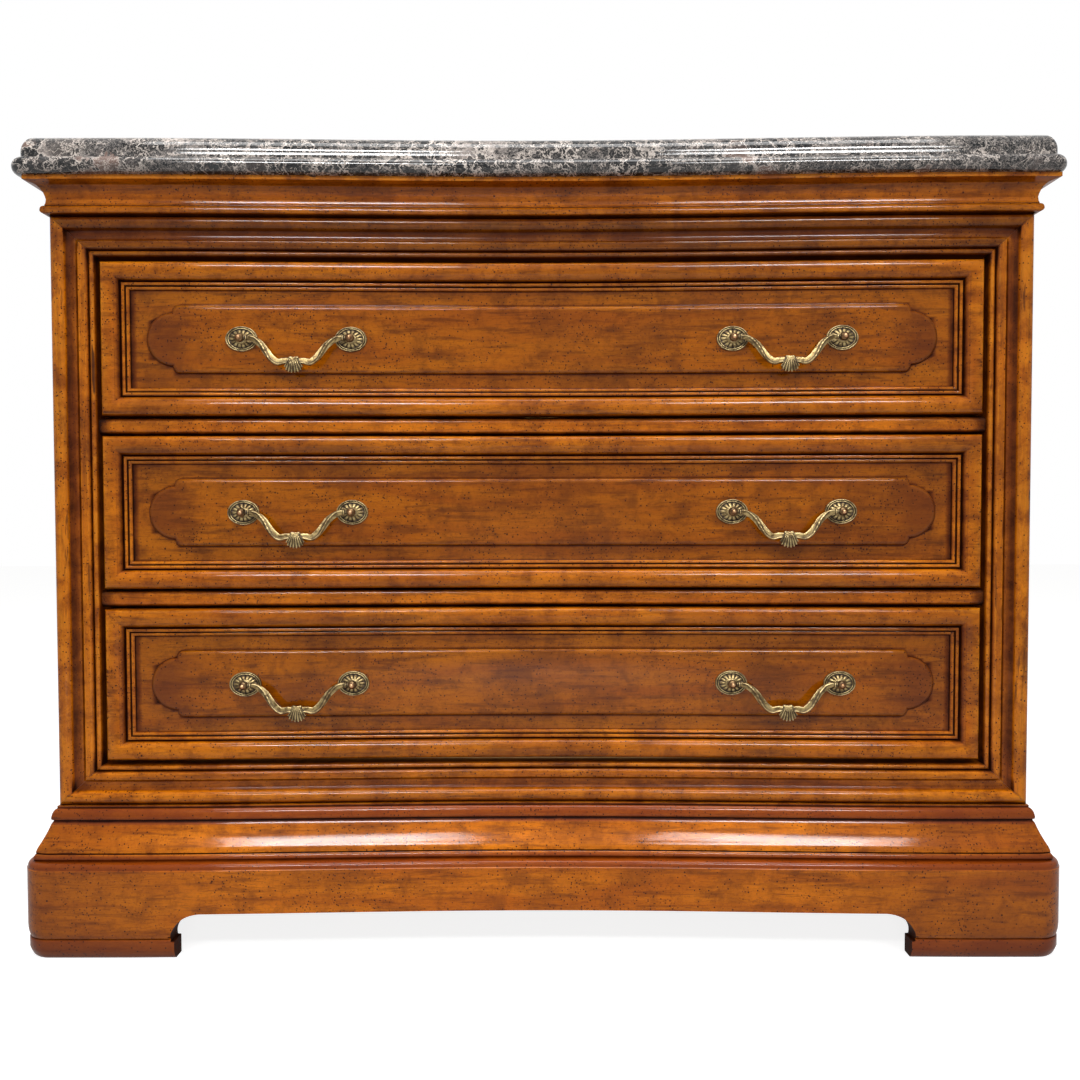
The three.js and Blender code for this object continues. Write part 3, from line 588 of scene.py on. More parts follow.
# ----------------------------------------------------------
# Base moulding: three mitred lengths on top of the plinth. A thin bead at the bottom, an ogee
# that draws in, and a round bead under the frame.
BASE_TOP = 0.1577
base_rows = [
    (0.93, 0), (1.05, 0.06, 0.9, 0.122), (0.85, 0.135), (0.88, 0.158),
    (0.86, 0.215, 0.726, 0.295), (0.419, 0.487, 0.251, 0.664), (0.15, 0.715), (0.16, 0.735),
    (0.3, 0.735, 0.232, 0.83), (0.186, 0.915, 0.047, 0.948), (0.0, 0.955), (0, 1),
]
base_face = [(out, PLINTH_TOP + up) for out, up in profile((-0.04, 0), base_rows, 0.0215, 0.0542)]
base_frame = [*base_face, (-0.04, BASE_TOP), (-0.04, PLINTH_TOP)]
mitred("base_moulding", base_frame, base_frame, 6, (low_across, low_deep))

# ----------------------------------------------------------
# Case: two lacquered cherry sides, and pine boards for its top, bottom and back, which are left
# bare. All of them keep the shape of the CAD nodes and only get their wood.


def bare(name, grain, pale, brown):
    """Planed and unfinished secondary wood, with its grain along an axis."""
    made, shader = material(name)
    place = shader.add("TexCoord", output="Object")
    stretch = [1.0, 1.0, 1.0]
    stretch[grain] = 0.07
    along = shader.add("Mapping", {}, {"Vector": place, "Scale": stretch})
    rings = shader.noise(along, 26, 4, 0.55, 1.2)
    fibres = shader.noise(along, 420, 3, 0.6, 0.0)
    stains = shader.noise(place, 4.5, 3, 0.6, 0.4)
    colour = shader.mix(shader.ramp(rings, 0.35, 0.65), pale, brown)
    colour = shader.mix(shader.ramp(fibres, 0.5, 0.75) * 0.4, colour, srgb(120, 84, 48))
    colour = shader.mix(shader.ramp(stains, 0.5, 0.75) * 0.4, colour, srgb(132, 98, 60))
    bump = shader.bump(fibres + rings * 0.4, 0.0003, 0.6)
    rough = shader.ramp(fibres, 0.2, 0.8, 0.6, 0.8)
    shader.finish({"Base Color": colour, "Roughness": rough, "Normal": bump})
    return made


pine_across = bare("pine_across", 0, srgb(214, 178, 126), srgb(190, 146, 92))
pine_deep = bare("pine_deep", 1, srgb(212, 176, 124), srgb(186, 142, 88))


def dress(node, finish):
    """Gives a CAD node that stays in view its material."""
    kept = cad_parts[node]
    kept.data.materials.clear()
    kept.data.materials.append(finish)


for node in ("case_top_panel", "case_bottom_panel", "case_back_panel", "plinth_back"):
    dress(node, pine_across)
wood_upright = lacquered("lacquer_upright", 2)
for node in ("case_side_left", "case_side_right"):
    dress(node, wood_upright)

# ----------------------------------------------------------
# Frame: two rails and two stiles round the drawers, mitred, with a broad rounded outer edge, a
# deep cove, a flat band and a small bead at the opening.
STILE = 0.0465  # width of a stile
RAIL = 0.043  # width of a rail
FRAME_THICK = 0.038
FRAME_TOP = 0.7962
frame_rows = [
    (0.0, 0.1, 0.17, 0.0), (0.3, 0.0, 0.345, 0.42), (0.4, 0.92, 0.6, 0.6), (0.63, 0.5),
    (0.7, 0.46, 0.77, 0.52), (0.81, 0.6, 0.83, 0.78), (0.85, 0.9), (0.858, 0.64, 0.92, 0.6),
    (0.985, 0.6, 1, 0.98),
]
frame_face = profile((0, 0.72), frame_rows, 1, 0.012)
frame_section = [*frame_face, (1, FRAME_THICK), (0, FRAME_THICK)]
# The top rail: a much darker copy, a painted shadow of the slab over it. The bottom rail: a
# slightly darker one, painted shade.
frame_top_wood = lacquered("lacquer_frame_top", 0, (0.5, 0.49, 0.4, 1))
frame_low_wood = lacquered("lacquer_frame_low", 0, (0.95, 0.95, 0.95, 1))
for name, edge, inwards, finish in (
    ("frame_top_rail", FRAME_TOP, -1, frame_top_wood),
    ("frame_bottom_rail", BASE_TOP, 1, frame_low_wood),
):
    corners = [(-CASE, FRONT + y, edge + inwards * RAIL * x) for x, y in frame_section]
    rail = cut_blank(name, corners)
    draw_out(rail, (2 * CASE, 0, 0))
    divide(rail, 60, 0)
    for side in (-1, 1):
        place = Vector((side * (CASE - 2 * GAP), 0, edge))
        saw(rail, place, Vector((side * RAIL, 0, inwards * STILE)).normalized())
    follow_front(rail, FRONT + FRAME_THICK)
    fit(rail, name, "case", "lacquered_wood", finish)
for side, word in SIDES:
    name = "frame_stile_" + word
    corners = [(side * (CASE - STILE * x), FRONT + y, BASE_TOP) for x, y in frame_section]
    stile = cut_blank(name, corners)
    draw_out(stile, (0, 0, FRAME_TOP - BASE_TOP))
    divide(stile, 20, 2)
    for step in (0.002, 0.006, 0.014):
        score(stile, (0, 0, FRAME_TOP - step), (0, 0, 1))
        score(stile, (0, 0, BASE_TOP + step), (0, 0, 1))
    for edge, inwards in ((FRAME_TOP, -1), (BASE_TOP, 1)):
        way = Vector((-side * RAIL, 0, -inwards * STILE)).normalized()
        saw(stile, Vector((side * CASE, 0, edge)), way)
    fit(stile, name, "case", "lacquered_wood", wood_upright)

# ----------------------------------------------------------
# Drawer rails: rounded lacquered rails of cherry between the drawers, let in a little behind the
# frame. Behind each is a dust panel of bare pine, which keeps the shape of its CAD node.
RAIL_HIGH = 0.0185
RAIL_DEEP = 0.05
RAIL_HALF = 0.4817  # half of a rail's length
RAIL_FRONT = FRONT + 0.012
upper = profile((0, 0.3), [(0, 1, 0.007 / RAIL_DEEP, 1)], RAIL_DEEP, RAIL_HIGH / 2)
rail_round = [(y, -z) for y, z in reversed(upper)] + upper
rail_section = rail_round + [(RAIL_DEEP, RAIL_HIGH / 2), (RAIL_DEEP, -RAIL_HIGH / 2)]
# A lighter copy: painted light on the rails between the drawers.
rail_wood = lacquered("lacquer_drawer_rail", 0, (1.2, 1.2, 1.1, 1))
for number, rail_top in ((1, 0.5804), (2, 0.392)):
    name = "drawer_rail_" + str(number)
    middle = rail_top - RAIL_HIGH / 2
    rail = cut_blank(name, [(-RAIL_HALF, RAIL_FRONT + y, middle + z) for y, z in rail_section])
    draw_out(rail, (2 * RAIL_HALF, 0, 0))
    divide(rail, 60, 0)
    follow_front(rail, RAIL_FRONT + RAIL_DEEP)
    fit(rail, name, "case", "lacquered_wood", rail_wood)
    dress("dust_panel_" + str(number), pine_across)

# ----------------------------------------------------------
# Drawer boxes: planed pine sides, backs and bottoms behind the fronts, joined at the corners and
# left bare. They keep the shape of the CAD nodes and only get their wood.
for number in (1, 2, 3):
    for part in ("side_left", "side_right"):
        dress(f"drawer_{number}_{part}", pine_deep)
    for part in ("bottom", "back"):
        dress(f"drawer_{number}_{part}", pine_across)

# ----------------------------------------------------------
# Drawer fronts: a thick board with a raised panel, whose round ends have a notch at each cusp,
# and a moulding glued round the edge: a broad torus, a quirk and two thin beads.
DRAWER_HALF = 0.4775
DRAWER_HIGH = 0.1667
EDGE_DEEP = 0.011  # how far the edge moulding stands before the board
CROWN = FRONT + 0.005
FIELD = CROWN + EDGE_DEEP
DRAWER_BACK = CROWN + 0.034
SEAM = 0.0001  # between the edge moulding and the board
edge_rows = [
    (0, 0.14, 0.13, 0.06), (0.3, -0.06, 0.46, 0.12), (0.6, 0.28, 0.63, 0.74), (0.66, 0.82),
    (0.672, 0.6), (0.72, 0.5, 0.765, 0.6), (0.782, 0.78), (0.805, 0.82), (0.815, 0.74),
    (0.86, 0.66, 0.905, 0.8), (0.93, 0.97), (0.94, 0.99),
]
edge_face = profile((0, 0.8), edge_rows, 0.033, EDGE_DEEP, 6)
PANEL_STEPS = [  # how far in and how high each step of the raised panel's edge goes
    (0.0006, 0.0001), (0.0004, 0.0014), (0.0010, 0.0012), (0.0010, 0.0006), (0.0010, 0.00035),
    (0.0009, 0.00018), (0.0004, 0.0),
]
# Darker copies, painted shade, for the field, the panel and the edge moulding; the panel also
# darker at its round ends, painted shade.
field_wood = lacquered("lacquer_field", 0, (0.66, 0.66, 0.5, 1))
panel_wood = lacquered("lacquer_panel", 0, (0.7, 0.69, 0.5, 1), (), (0.365, 0.412, 0.65))
moulding_wood = lacquered("lacquer_drawer_moulding", 0, (0.92, 0.92, 0.85, 1))


def panel_outline():
    """The raised panel as (across, height): round ends, notched cusps and straight edges."""
    half, high = DRAWER_HALF - 0.0475, DRAWER_HIGH / 2 - 0.04575
    cusp, sagitta = high - 0.00775, 0.028
    radius = (cusp**2 + sagitta**2) / (2 * sagitta)
    widest = math.asin(cusp / radius)
    end = []
    for i in range(-14, 15):
        turn = widest * i / 14
        end.append((half - radius * (1 - math.cos(turn)), radius * math.sin(turn)))
    x = end[-1][0]
    notch = [(x - 0.0008, cusp + 0.0034), (x - 0.0034, cusp + 0.0062), (x - 0.0055, high)]
    right = [(a, -b) for a, b in reversed(notch)] + end + notch
    return right + [(-a, -b) for a, b in right]


def front_blank(name, y, middle):
    """A flat blank as large as a drawer's front, at a depth and round a height."""
    low, high = middle - DRAWER_HIGH / 2, middle + DRAWER_HIGH / 2
    half = DRAWER_HALF
    return cut_blank(name, [(-half, y, low), (half, y, low), (half, y, high), (-half, y, high)])


def score_length():
    """Adds 59 lines of points across the piece that is being edited, so that it can bend."""
    for i in range(1, 60):
        bpy.ops.mesh.select_all(action="SELECT")
        place = (-DRAWER_HALF + 2 * DRAWER_HALF * i / 60, 0, 0)
        bpy.ops.mesh.bisect(plane_co=place, plane_no=(1, 0, 0))


def joined(pieces, name):
    bpy.ops.object.select_all(action="DESELECT")
    for piece in pieces:
        piece.select_set(True)
    bpy.context.view_layer.objects.active = pieces[0]
    bpy.ops.object.join()
    pieces[0].name = name
    return pieces[0]


def make_moulding(name, middle):
    """The edge moulding: a block whose face is inset line by line, and then opened into a ring."""
    ring = front_blank(name, FIELD - SEAM, middle)
    draw_out(ring, (0, -(EDGE_DEEP - edge_face[0][1] - SEAM), 0))
    clean(ring)
    pick(ring, "FACE", lambda face: face.normal.y < -0.9)
    for (x0, y0), (x1, y1) in zip(edge_face, edge_face[1:]):
        bpy.ops.mesh.inset(thickness=max(x1 - x0, 1e-5), depth=y0 - y1, use_even_offset=True)
    bpy.ops.mesh.delete(type="FACE")
    close()
    pick(ring, "FACE", lambda face: face.normal.y > 0.9 and face.area > 0.1)
    bpy.ops.mesh.delete(type="ONLY_FACE")
    bpy.ops.mesh.select_all(action="SELECT")
    bpy.ops.mesh.select_mode(type="EDGE")
    bpy.ops.mesh.select_all(action="DESELECT")
    bpy.ops.mesh.select_non_manifold()
    bpy.ops.mesh.bridge_edge_loops()
    score_length()
    close()
    follow_front(ring)
    return ring


def make_front(name, middle):
    """The board with its raised panel."""
    board = front_blank(name, DRAWER_BACK, middle)
    draw_out(board, (0, FIELD - DRAWER_BACK, 0))
    divide(board, 160, 0)
    divide(board, 41, 2)
    corners = [(x, FIELD + 0.002, middle + z) for x, z in panel_outline()]
    panel = cut_blank(name + "_panel", corners)
    draw_out(panel, (0, -0.0022, 0))
    clean(panel)
    pick(panel, "FACE", lambda face: face.normal.y < -0.9)
    for thick, rise in PANEL_STEPS:
        bpy.ops.mesh.inset(thickness=thick, depth=rise, use_even_offset=True)
    score_length()
    close()
    follow_front(board, DRAWER_BACK)
    follow_front(panel)
    for piece, wood in ((panel, panel_wood), (board, field_wood)):
        piece.data.materials.append(wood)
        clean(piece)
    return joined([board, panel], name)


DRAWER_MIDDLES = {1: 0.66535, 2: 0.47695, 3: 0.28855}  # height of each drawer's middle
for number, middle in DRAWER_MIDDLES.items():
    body = "drawer_" + str(number)
    front = make_front(body + "_front", middle)
    fit(front, body + "_front", body, "lacquered_wood", None)
    moulding = make_moulding(body + "_moulding", middle)
    fit(moulding, body + "_moulding", body, "lacquered_wood", moulding_wood)

# ----------------------------------------------------------
# Pulls: cast brass with a brown patina, rubbed bright on what stands out. A post is an oval
# rosette with a sunburst, a ball that holds the bail's pin and a knob, on a bolt with its nut.
# The bail has two leaf-shaped arms and a shell in the middle.


def brass(name, pale, bright, old):
    made, shader = material(name)
    place = shader.add("TexCoord", output="Object")
    glaze_and_shade = shader.add("Attribute", {"attribute_name": "glaze_and_shade"}, {}, "Fac")
    cloud = shader.noise(place, 160, 4, 0.6, 0.3)
    grain = shader.noise(place, 900, 3, 0.6, 0.0)
    wear = shader.add("Attribute", {"attribute_name": "wear"}, {}, "Fac")
    colour = shader.mix(shader.ramp(cloud, 0.38, 0.62), pale, bright)
    colour = shader.mix(wear.up_to(1.0) * 0.5, colour, srgb(204, 184, 138))
    colour = shader.mix(shader.ramp(cloud, 0.54, 0.36) * 0.65, colour, old)
    dark = glaze_and_shade * 2.3 + shader.ramp(grain, 0.5, 0.74) * 0.3 - wear * 0.35
    dark = dark.at_least(0.0).up_to(1.0)
    colour = shader.mix(dark, colour, srgb(38, 24, 13))
    rough = shader.ramp(cloud, 0.3, 0.7, 0.28, 0.42) + dark * 0.3
    bump = shader.bump(grain + cloud * 1.5, 0.0003, 0.7)
    metal = 1 - dark * 0.5
    shader.finish({"Base Color": colour, "Roughness": rough, "Metallic": metal, "Normal": bump})
    return made


aged_brass = brass("brass", srgb(108, 90, 58), srgb(136, 118, 80), srgb(62, 46, 28))
# Darker and lighter copies: the ball behind the knob darker, patina with painted shade; the knob
# lighter and pinker, a painted highlight.
shaded_ball_brass = brass("brass_ball", srgb(70, 48, 30), srgb(96, 68, 42), srgb(40, 24, 14))
lit_knob_brass = brass("brass_knob", srgb(140, 100, 68), srgb(172, 130, 96), srgb(90, 58, 36))


def turn(name, points, steps):
    """A turned piece round the y axis. Its points are (radius, forward)."""
    outline = cut_blank(name, [(radius, -forward, 0) for radius, forward in points], "NOTHING")
    last = len(points) - 1
    pick(outline, "EDGE", lambda edge: set(edge.vertices) == {0, last})
    bpy.ops.mesh.delete(type="EDGE_FACE")
    bpy.ops.mesh.select_all(action="SELECT")
    bpy.ops.mesh.spin(steps=steps, angle=math.tau, center=(0, 0, 0), axis=(0, 1, 0))
    bpy.ops.mesh.select_all(action="SELECT")
    bpy.ops.mesh.remove_doubles(threshold=1e-6)
    bpy.ops.mesh.normals_make_consistent(inside=False)
    close()
    return outline


ROSETTE = 0.01365  # half of a rosette's height
rosette_rows = [
    (1, 0.45, 0.985, 0.7), (0.965, 1.05, 0.93, 1), (0.895, 0.92, 0.885, 0.52), (0.87, 0.5),
    (0.86, 0.95, 0.815, 0.95), (0.77, 0.93, 0.765, 0.5), (0.74, 0.42), (0.6, 0.62), (0.5, 0.9),
    (0.4, 1.25), (0.36, 1.5), (0.33, 1.72, 0.26, 1.75), (0, 1.75),
]
rosette = turn("rosette", [(0, 0), *profile((1, 0), rosette_rows, ROSETTE, 0.0024, 4)], 140)


def sunburst(at):
    """Raises fourteen petals between the rings of a rosette, and makes it oval."""
    radius = math.hypot(at.x, at.z) / ROSETTE
    share = max(0.0, min((radius - 0.36) / 0.12, (0.77 - radius) / 0.08, 1.0))
    petal = 2 * abs(math.cos(7 * math.atan2(at.z, at.x))) ** 0.7 - 1
    return Vector((at.x * 1.282, at.y - 0.0006 * share * petal, at.z))


move_points(rosette, sunburst)
PIN = 0.0105  # how far the middle of a post's ball, and so the bail's pin, stands forward
post_points = [(0, 0.002), (0.0045, 0.0022), (0.0045, 0.0046), (0.0036, 0.0052), (0.0034, 0.0063)]
ball, knob = (0.005, PIN, -68, 136, 16), (0.0026, 0.0159, -62, 152, 12)
for radius, forward, start, sweep, steps in (ball, knob):
    for i in range(steps + 1):
        angle = math.radians(start + sweep * i / steps)
        post_points.append((radius * math.cos(angle), forward + radius * math.sin(angle)))
post_points[-1] = (0, 0.0185)
post_turned = turn("post", post_points, 32)
rosette.data.materials.append(aged_brass)
for metal in (aged_brass, shaded_ball_brass, lit_knob_brass):
    post_turned.data.materials.append(metal)
for face in post_turned.data.polygons:
    face.material_index = (face.center.y < -0.0055) + (face.center.y < -0.0148)


NUT = 0.004  # thickness of a nut


def bolt_and_nut(behind):
    """The bolt through the drawer front, and its six-sided nut behind it."""
    nut_back = -behind - 0.0006 - NUT
    bolt = (24, 0.00195, nut_back - 0.001, 0.002)
    nut = (6, 0.005, nut_back, nut_back + NUT)
    parts = []
    for corners, radius, start, end in (bolt, nut):
        bpy.ops.mesh.primitive_cylinder_add(vertices=corners, radius=radius, depth=end - start)
        part = bpy.context.object
        part.data.transform(Matrix.Rotation(math.pi / 2, 4, "X"))
        part.data.transform(Matrix.Translation((0, -(start + end) / 2, 0)))
        part.data.materials.append(aged_brass)
        parts.append(part)
    return parts


BAIL_SHARES = [  # the bail's middle line, as shares (across, down, out)
    (0, 0.95, 1), (0.18, 0.96, 1), (0.3, 1, 0.98), (0.41, 0.84, 0.9), (0.5, 0.6, 0.72),
    (0.61, 0.29, 0.42), (0.75, 0.07, 0.12), (0.86, 0, 0), (1, 0, 0),
]
REACH = 0.0577
DROP = 0.027
BULGE = 0.006
bail_half = [Vector((x * REACH, -PIN - out * BULGE, -down * DROP)) for x, down, out in BAIL_SHARES]
bail_points = [Vector((-p.x, p.y, p.z)) for p in reversed(bail_half[1:])] + bail_half


def bail_line(share):
    """A place on the middle line of the bail, from -1 at one end to 1 at the other."""
    spot = (share + 1) / 2 * (len(bail_points) - 1)
    i = min(int(spot), len(bail_points) - 2)
    t = spot - i
    b, c = bail_points[i], bail_points[i + 1]
    a = bail_points[i - 1] if i > 0 else b * 2 - c
    d = bail_points[i + 2] if i + 2 < len(bail_points) else c * 2 - b
    square, cube = 2 * a - 5 * b + 4 * c - d, 3 * b - a - 3 * c + d
    return 0.5 * (2 * b + (c - a) * t + square * t**2 + cube * t**3)


def bend_bail(at):
    """Bends a straight bar of radius 1, from x -1 to 1, into the leaf-shaped arms."""
    middle = bail_line(at.x)
    ahead = (bail_line(min(at.x + 0.004, 1)) - bail_line(max(at.x - 0.004, -1))).normalized()
    up = Vector((-ahead.z, 0, ahead.x)).normalized()
    away = up.cross(ahead).normalized()
    share = abs(middle.x) / REACH
    swell = 0 if share > 0.88 else math.sin(math.pi * share / 0.88) ** 0.45
    broad = 0.0021 + 0.0017 * swell
    thin = 0.0021 + 0.0009 * swell
    ridge = max(-0.66, min(0.66, (share - 0.58) * 4))
    edge = 1 - 0.8 * swell * (1 - math.exp(-(((at.y - ridge) / 0.3) ** 2)))
    return middle + up * broad * at.y + away * thin * at.z * edge


def make_bail():
    """The two arms from one bent bar, the shell over their middle, and beads at its foot."""
    circle = [(-1, math.cos(math.tau * i / 32), math.sin(math.tau * i / 32)) for i in range(32)]
    arms = cut_blank("bail", circle)
    draw_out(arms, (2, 0, 0))
    divide(arms, 119, 0)
    move_points(arms, bend_bail)
    bpy.ops.mesh.primitive_grid_add(x_subdivisions=64, y_subdivisions=20, size=2)
    shell = bpy.context.object

    def fan(at):
        """Spreads a flat square into the ribbed shell."""
        along = (1 - at.y) / 2
        angle = at.x * 0.25 * math.pi
        rib = math.cos(7 * math.pi * at.x) * -0.5 + 0.5
        lobe = 1 - 0.09 * (1 - rib) * along
        length = (0.001 + 0.0168 * along) * lobe * (1 - 0.14 * at.x**4)
        crown = math.sin(math.pi * min(along * 0.62 + 0.16, 1)) * (1 - 0.35 * at.x**2)
        relief = 0.0012 + 0.0034 * crown
        relief += 0.0007 * (rib - 0.5) * min(1, along * 2.2)
        x = math.sin(angle) * length * 0.9 + at.x * 0.0022 * (1 - along)
        z = -0.0208 - math.cos(angle) * length
        return Vector((x, -0.0155 - relief, z))

    move_points(shell, fan)
    open_up(shell)
    bpy.ops.mesh.extrude_region_move(TRANSFORM_OT_translate={"value": (0, 0, 0)})
    close()
    for vertex in shell.data.vertices:
        if vertex.select:
            vertex.co.y = -0.0135
    clean(shell)
    beads = []
    for place, sizes in (
        ((-0.0034, -0.0165, -0.0226), (0.0022, 0.002, 0.0018)),
        ((0.0034, -0.0165, -0.0226), (0.0022, 0.002, 0.0018)),
        ((-0.0516, -PIN, 0), (0.0013, 0.0032, 0.0032)),
        ((0.0516, -PIN, 0), (0.0013, 0.0032, 0.0032)),
    ):
        bpy.ops.mesh.primitive_uv_sphere_add(segments=24, ring_count=14, radius=1)
        bead = bpy.context.object
        bead.data.transform(Matrix.Translation(place) @ Matrix.Diagonal((*sizes, 1)))
        beads.append(bead)
    return joined([arms, shell, *beads], "bail")


def copy_of(piece, name):
    copied = bpy.data.objects.new(name, piece.data.copy())
    bpy.context.collection.objects.link(copied)
    return copied


bail_model = make_bail()
PULL_AT = 0.267  # from the middle of the chest to the middle of a pull
POST_AT = 0.059  # from there to each post
FIELD_TO_FACE = 0.004  # how far the raised panel's face stands before the field
LIFT = 0.0003  # how far a rosette stands before that face
for number, middle in DRAWER_MIDDLES.items():
    for side, word in SIDES:
        x = side * PULL_AT
        left, right = hollow(x - POST_AT), hollow(x + POST_AT)
        y = FIELD - FIELD_TO_FACE + (left + right) / 2 - LIFT
        tilt = math.atan2(right - left, 2 * POST_AT)
        place = Matrix.Translation((x, y, middle)) @ Matrix.Rotation(tilt, 4, "Z")
        drawer = "drawer_" + str(number)
        name = drawer + "_" + word
        for end, ending in SIDES:
            offset = end * POST_AT
            behind = DRAWER_BACK - y - offset * math.sin(tilt)
            parts = [copy_of(rosette, "part"), *bolt_and_nut(behind), copy_of(post_turned, "part")]
            post = joined(parts, name + "_post_" + ending)
            post.data.transform(place @ Matrix.Translation((offset, 0, 0)))
            fit(post, name + "_post_" + ending, drawer, "brass", None, 40)
        bail = copy_of(bail_model, name + "_bail")
        bail.data.transform(place)
        fit(bail, name + "_bail", "bail_" + str(number) + "_" + word, "brass", aged_brass, 50)
for model in (rosette, post_turned, bail_model):
    bpy.data.objects.remove(model)

# ----------------------------------------------------------
# Cornice: three mitred lengths of moulded cherry, glued under the slab. A bead at the bottom, a
# hollow neck, and a cove that runs out to a fillet.
CORNICE_TOP = 0.8325
cornice_rows = [
    (0.16, 0), (0.34, 0.02, 0.3, 0.12), (0.28, 0.2, 0.15, 0.225), (0.1, 0.235), (0.1, 0.262),
    (0.05, 0.3, 0.04, 0.43), (0.147, 0.722, 0.52, 0.815), (0.93, 0.872), (1, 0.88), (1, 1),
    (0, 1),
]
cornice_face = [(out, FRAME_TOP + up) for out, up in profile((0, 0), cornice_rows, 0.0177, 0.0363)]
cornice_section = [*cornice_face, (-FRAME_THICK, CORNICE_TOP), (-FRAME_THICK, FRAME_TOP)]
# A slightly darker, yellower copy: painted shade under the slab.
cornice_woods = [
    lacquered("lacquer_cornice_" + str(grain), grain, (0.99, 0.99, 0.88, 1)) for grain in (0, 1)
]
mitred("cornice", cornice_section, cornice_face, 0, cornice_woods)

# ----------------------------------------------------------
# Marble slab: one polished piece of dark breccia. A half-round bead at the bottom of its edge,
# a small step, an upright part and a quarter-round over it. It lies 3 mm to the left.
SLAB_REACH = 0.0275  # how far it stands out from the case
SLAB_HALF = CASE + SLAB_REACH
SLAB_FRONT = FRONT - SLAB_REACH
SLAB_CORNER = 0.018
SLAB_SHIFT = -0.003
BEAD = 0.0091  # radius of the bead
STEP = 0.0092  # how far in the part over the bead lies
ROUND_LOW = 0.0246  # height at which the quarter-round begins
slab_levels = []  # how far in and how high each line of points round the edge lies
for i in range(13):
    angle = math.pi * i / 12
    slab_levels.append((BEAD * (1 - math.sin(angle)), BEAD * (1 - math.cos(angle))))
slab_levels += [(0.0090, 0.0182), (STEP, 0.0186), (STEP, ROUND_LOW)]
for i in range(1, 15):
    angle = math.pi * i / 28
    slab_levels.append((STEP + 0.02 * (1 - math.cos(angle)), ROUND_LOW + 0.0189 * math.sin(angle)))


def slab_plan():
    """The slab's outline in plan: round corners, and enough points across to be hollowed."""
    middle_x, middle_y = SLAB_HALF - SLAB_CORNER, SLAB_FRONT + SLAB_CORNER
    right = []
    for i in range(11):
        x, y = SLAB_CORNER * math.sin(math.pi * i / 20), SLAB_CORNER * math.cos(math.pi * i / 20)
        right.append((middle_x + x, middle_y - y))
    right += [(SLAB_HALF, y) for y in (-0.2, -0.1, 0.0, 0.1, 0.2, BACK)]
    front = [(-HOLLOW_HALF + 2 * HOLLOW_HALF * i / 64, SLAB_FRONT) for i in range(65)]
    back = [(SLAB_HALF * (1 - i / 8), BACK) for i in range(1, 16)]
    return front + right + back + [(-x, y) for x, y in reversed(right)]


slab = cut_blank("marble_top", [(x, y, 0) for x, y in slab_plan()])
open_up(slab)
for (_, low), (_, high) in zip(slab_levels, slab_levels[1:]):
    rise = max(high - low, 1e-7) + 1e-6  # so that each level has a height of its own
    bpy.ops.mesh.extrude_region_move(TRANSFORM_OT_translate={"value": (0, 0, rise)})
close()


def slab_edge(at):
    """Draws each level of the slab in, by its height, and hollows its front."""
    heights = [level[1] for level in slab_levels]
    i = min(range(len(heights)), key=lambda k: abs(heights[k] + k * 1e-6 - at.z))
    inset = slab_levels[i][0]
    radius = max(SLAB_CORNER - inset, 0)
    middle_x = SLAB_HALF - inset - radius
    middle_y = SLAB_FRONT + inset + radius
    x, y, side = abs(at.x), at.y, 1 if at.x > 0 else -1
    far_x, far_y = x - (SLAB_HALF - SLAB_CORNER), SLAB_FRONT + SLAB_CORNER - y
    if far_x > -1e-6 and far_y > -1e-6:
        x = middle_x + radius * far_x / SLAB_CORNER
        y = middle_y - radius * far_y / SLAB_CORNER
    elif y < 0 and far_y > 0:
        y += inset + hollow(x)
    elif x > SLAB_HALF - 1e-5:
        x -= inset
    elif y > BACK - 1e-5:
        x = min(x, SLAB_HALF - inset)
    return Vector((side * x + SLAB_SHIFT, y, CORNICE_TOP + heights[i]))


move_points(slab, slab_edge)


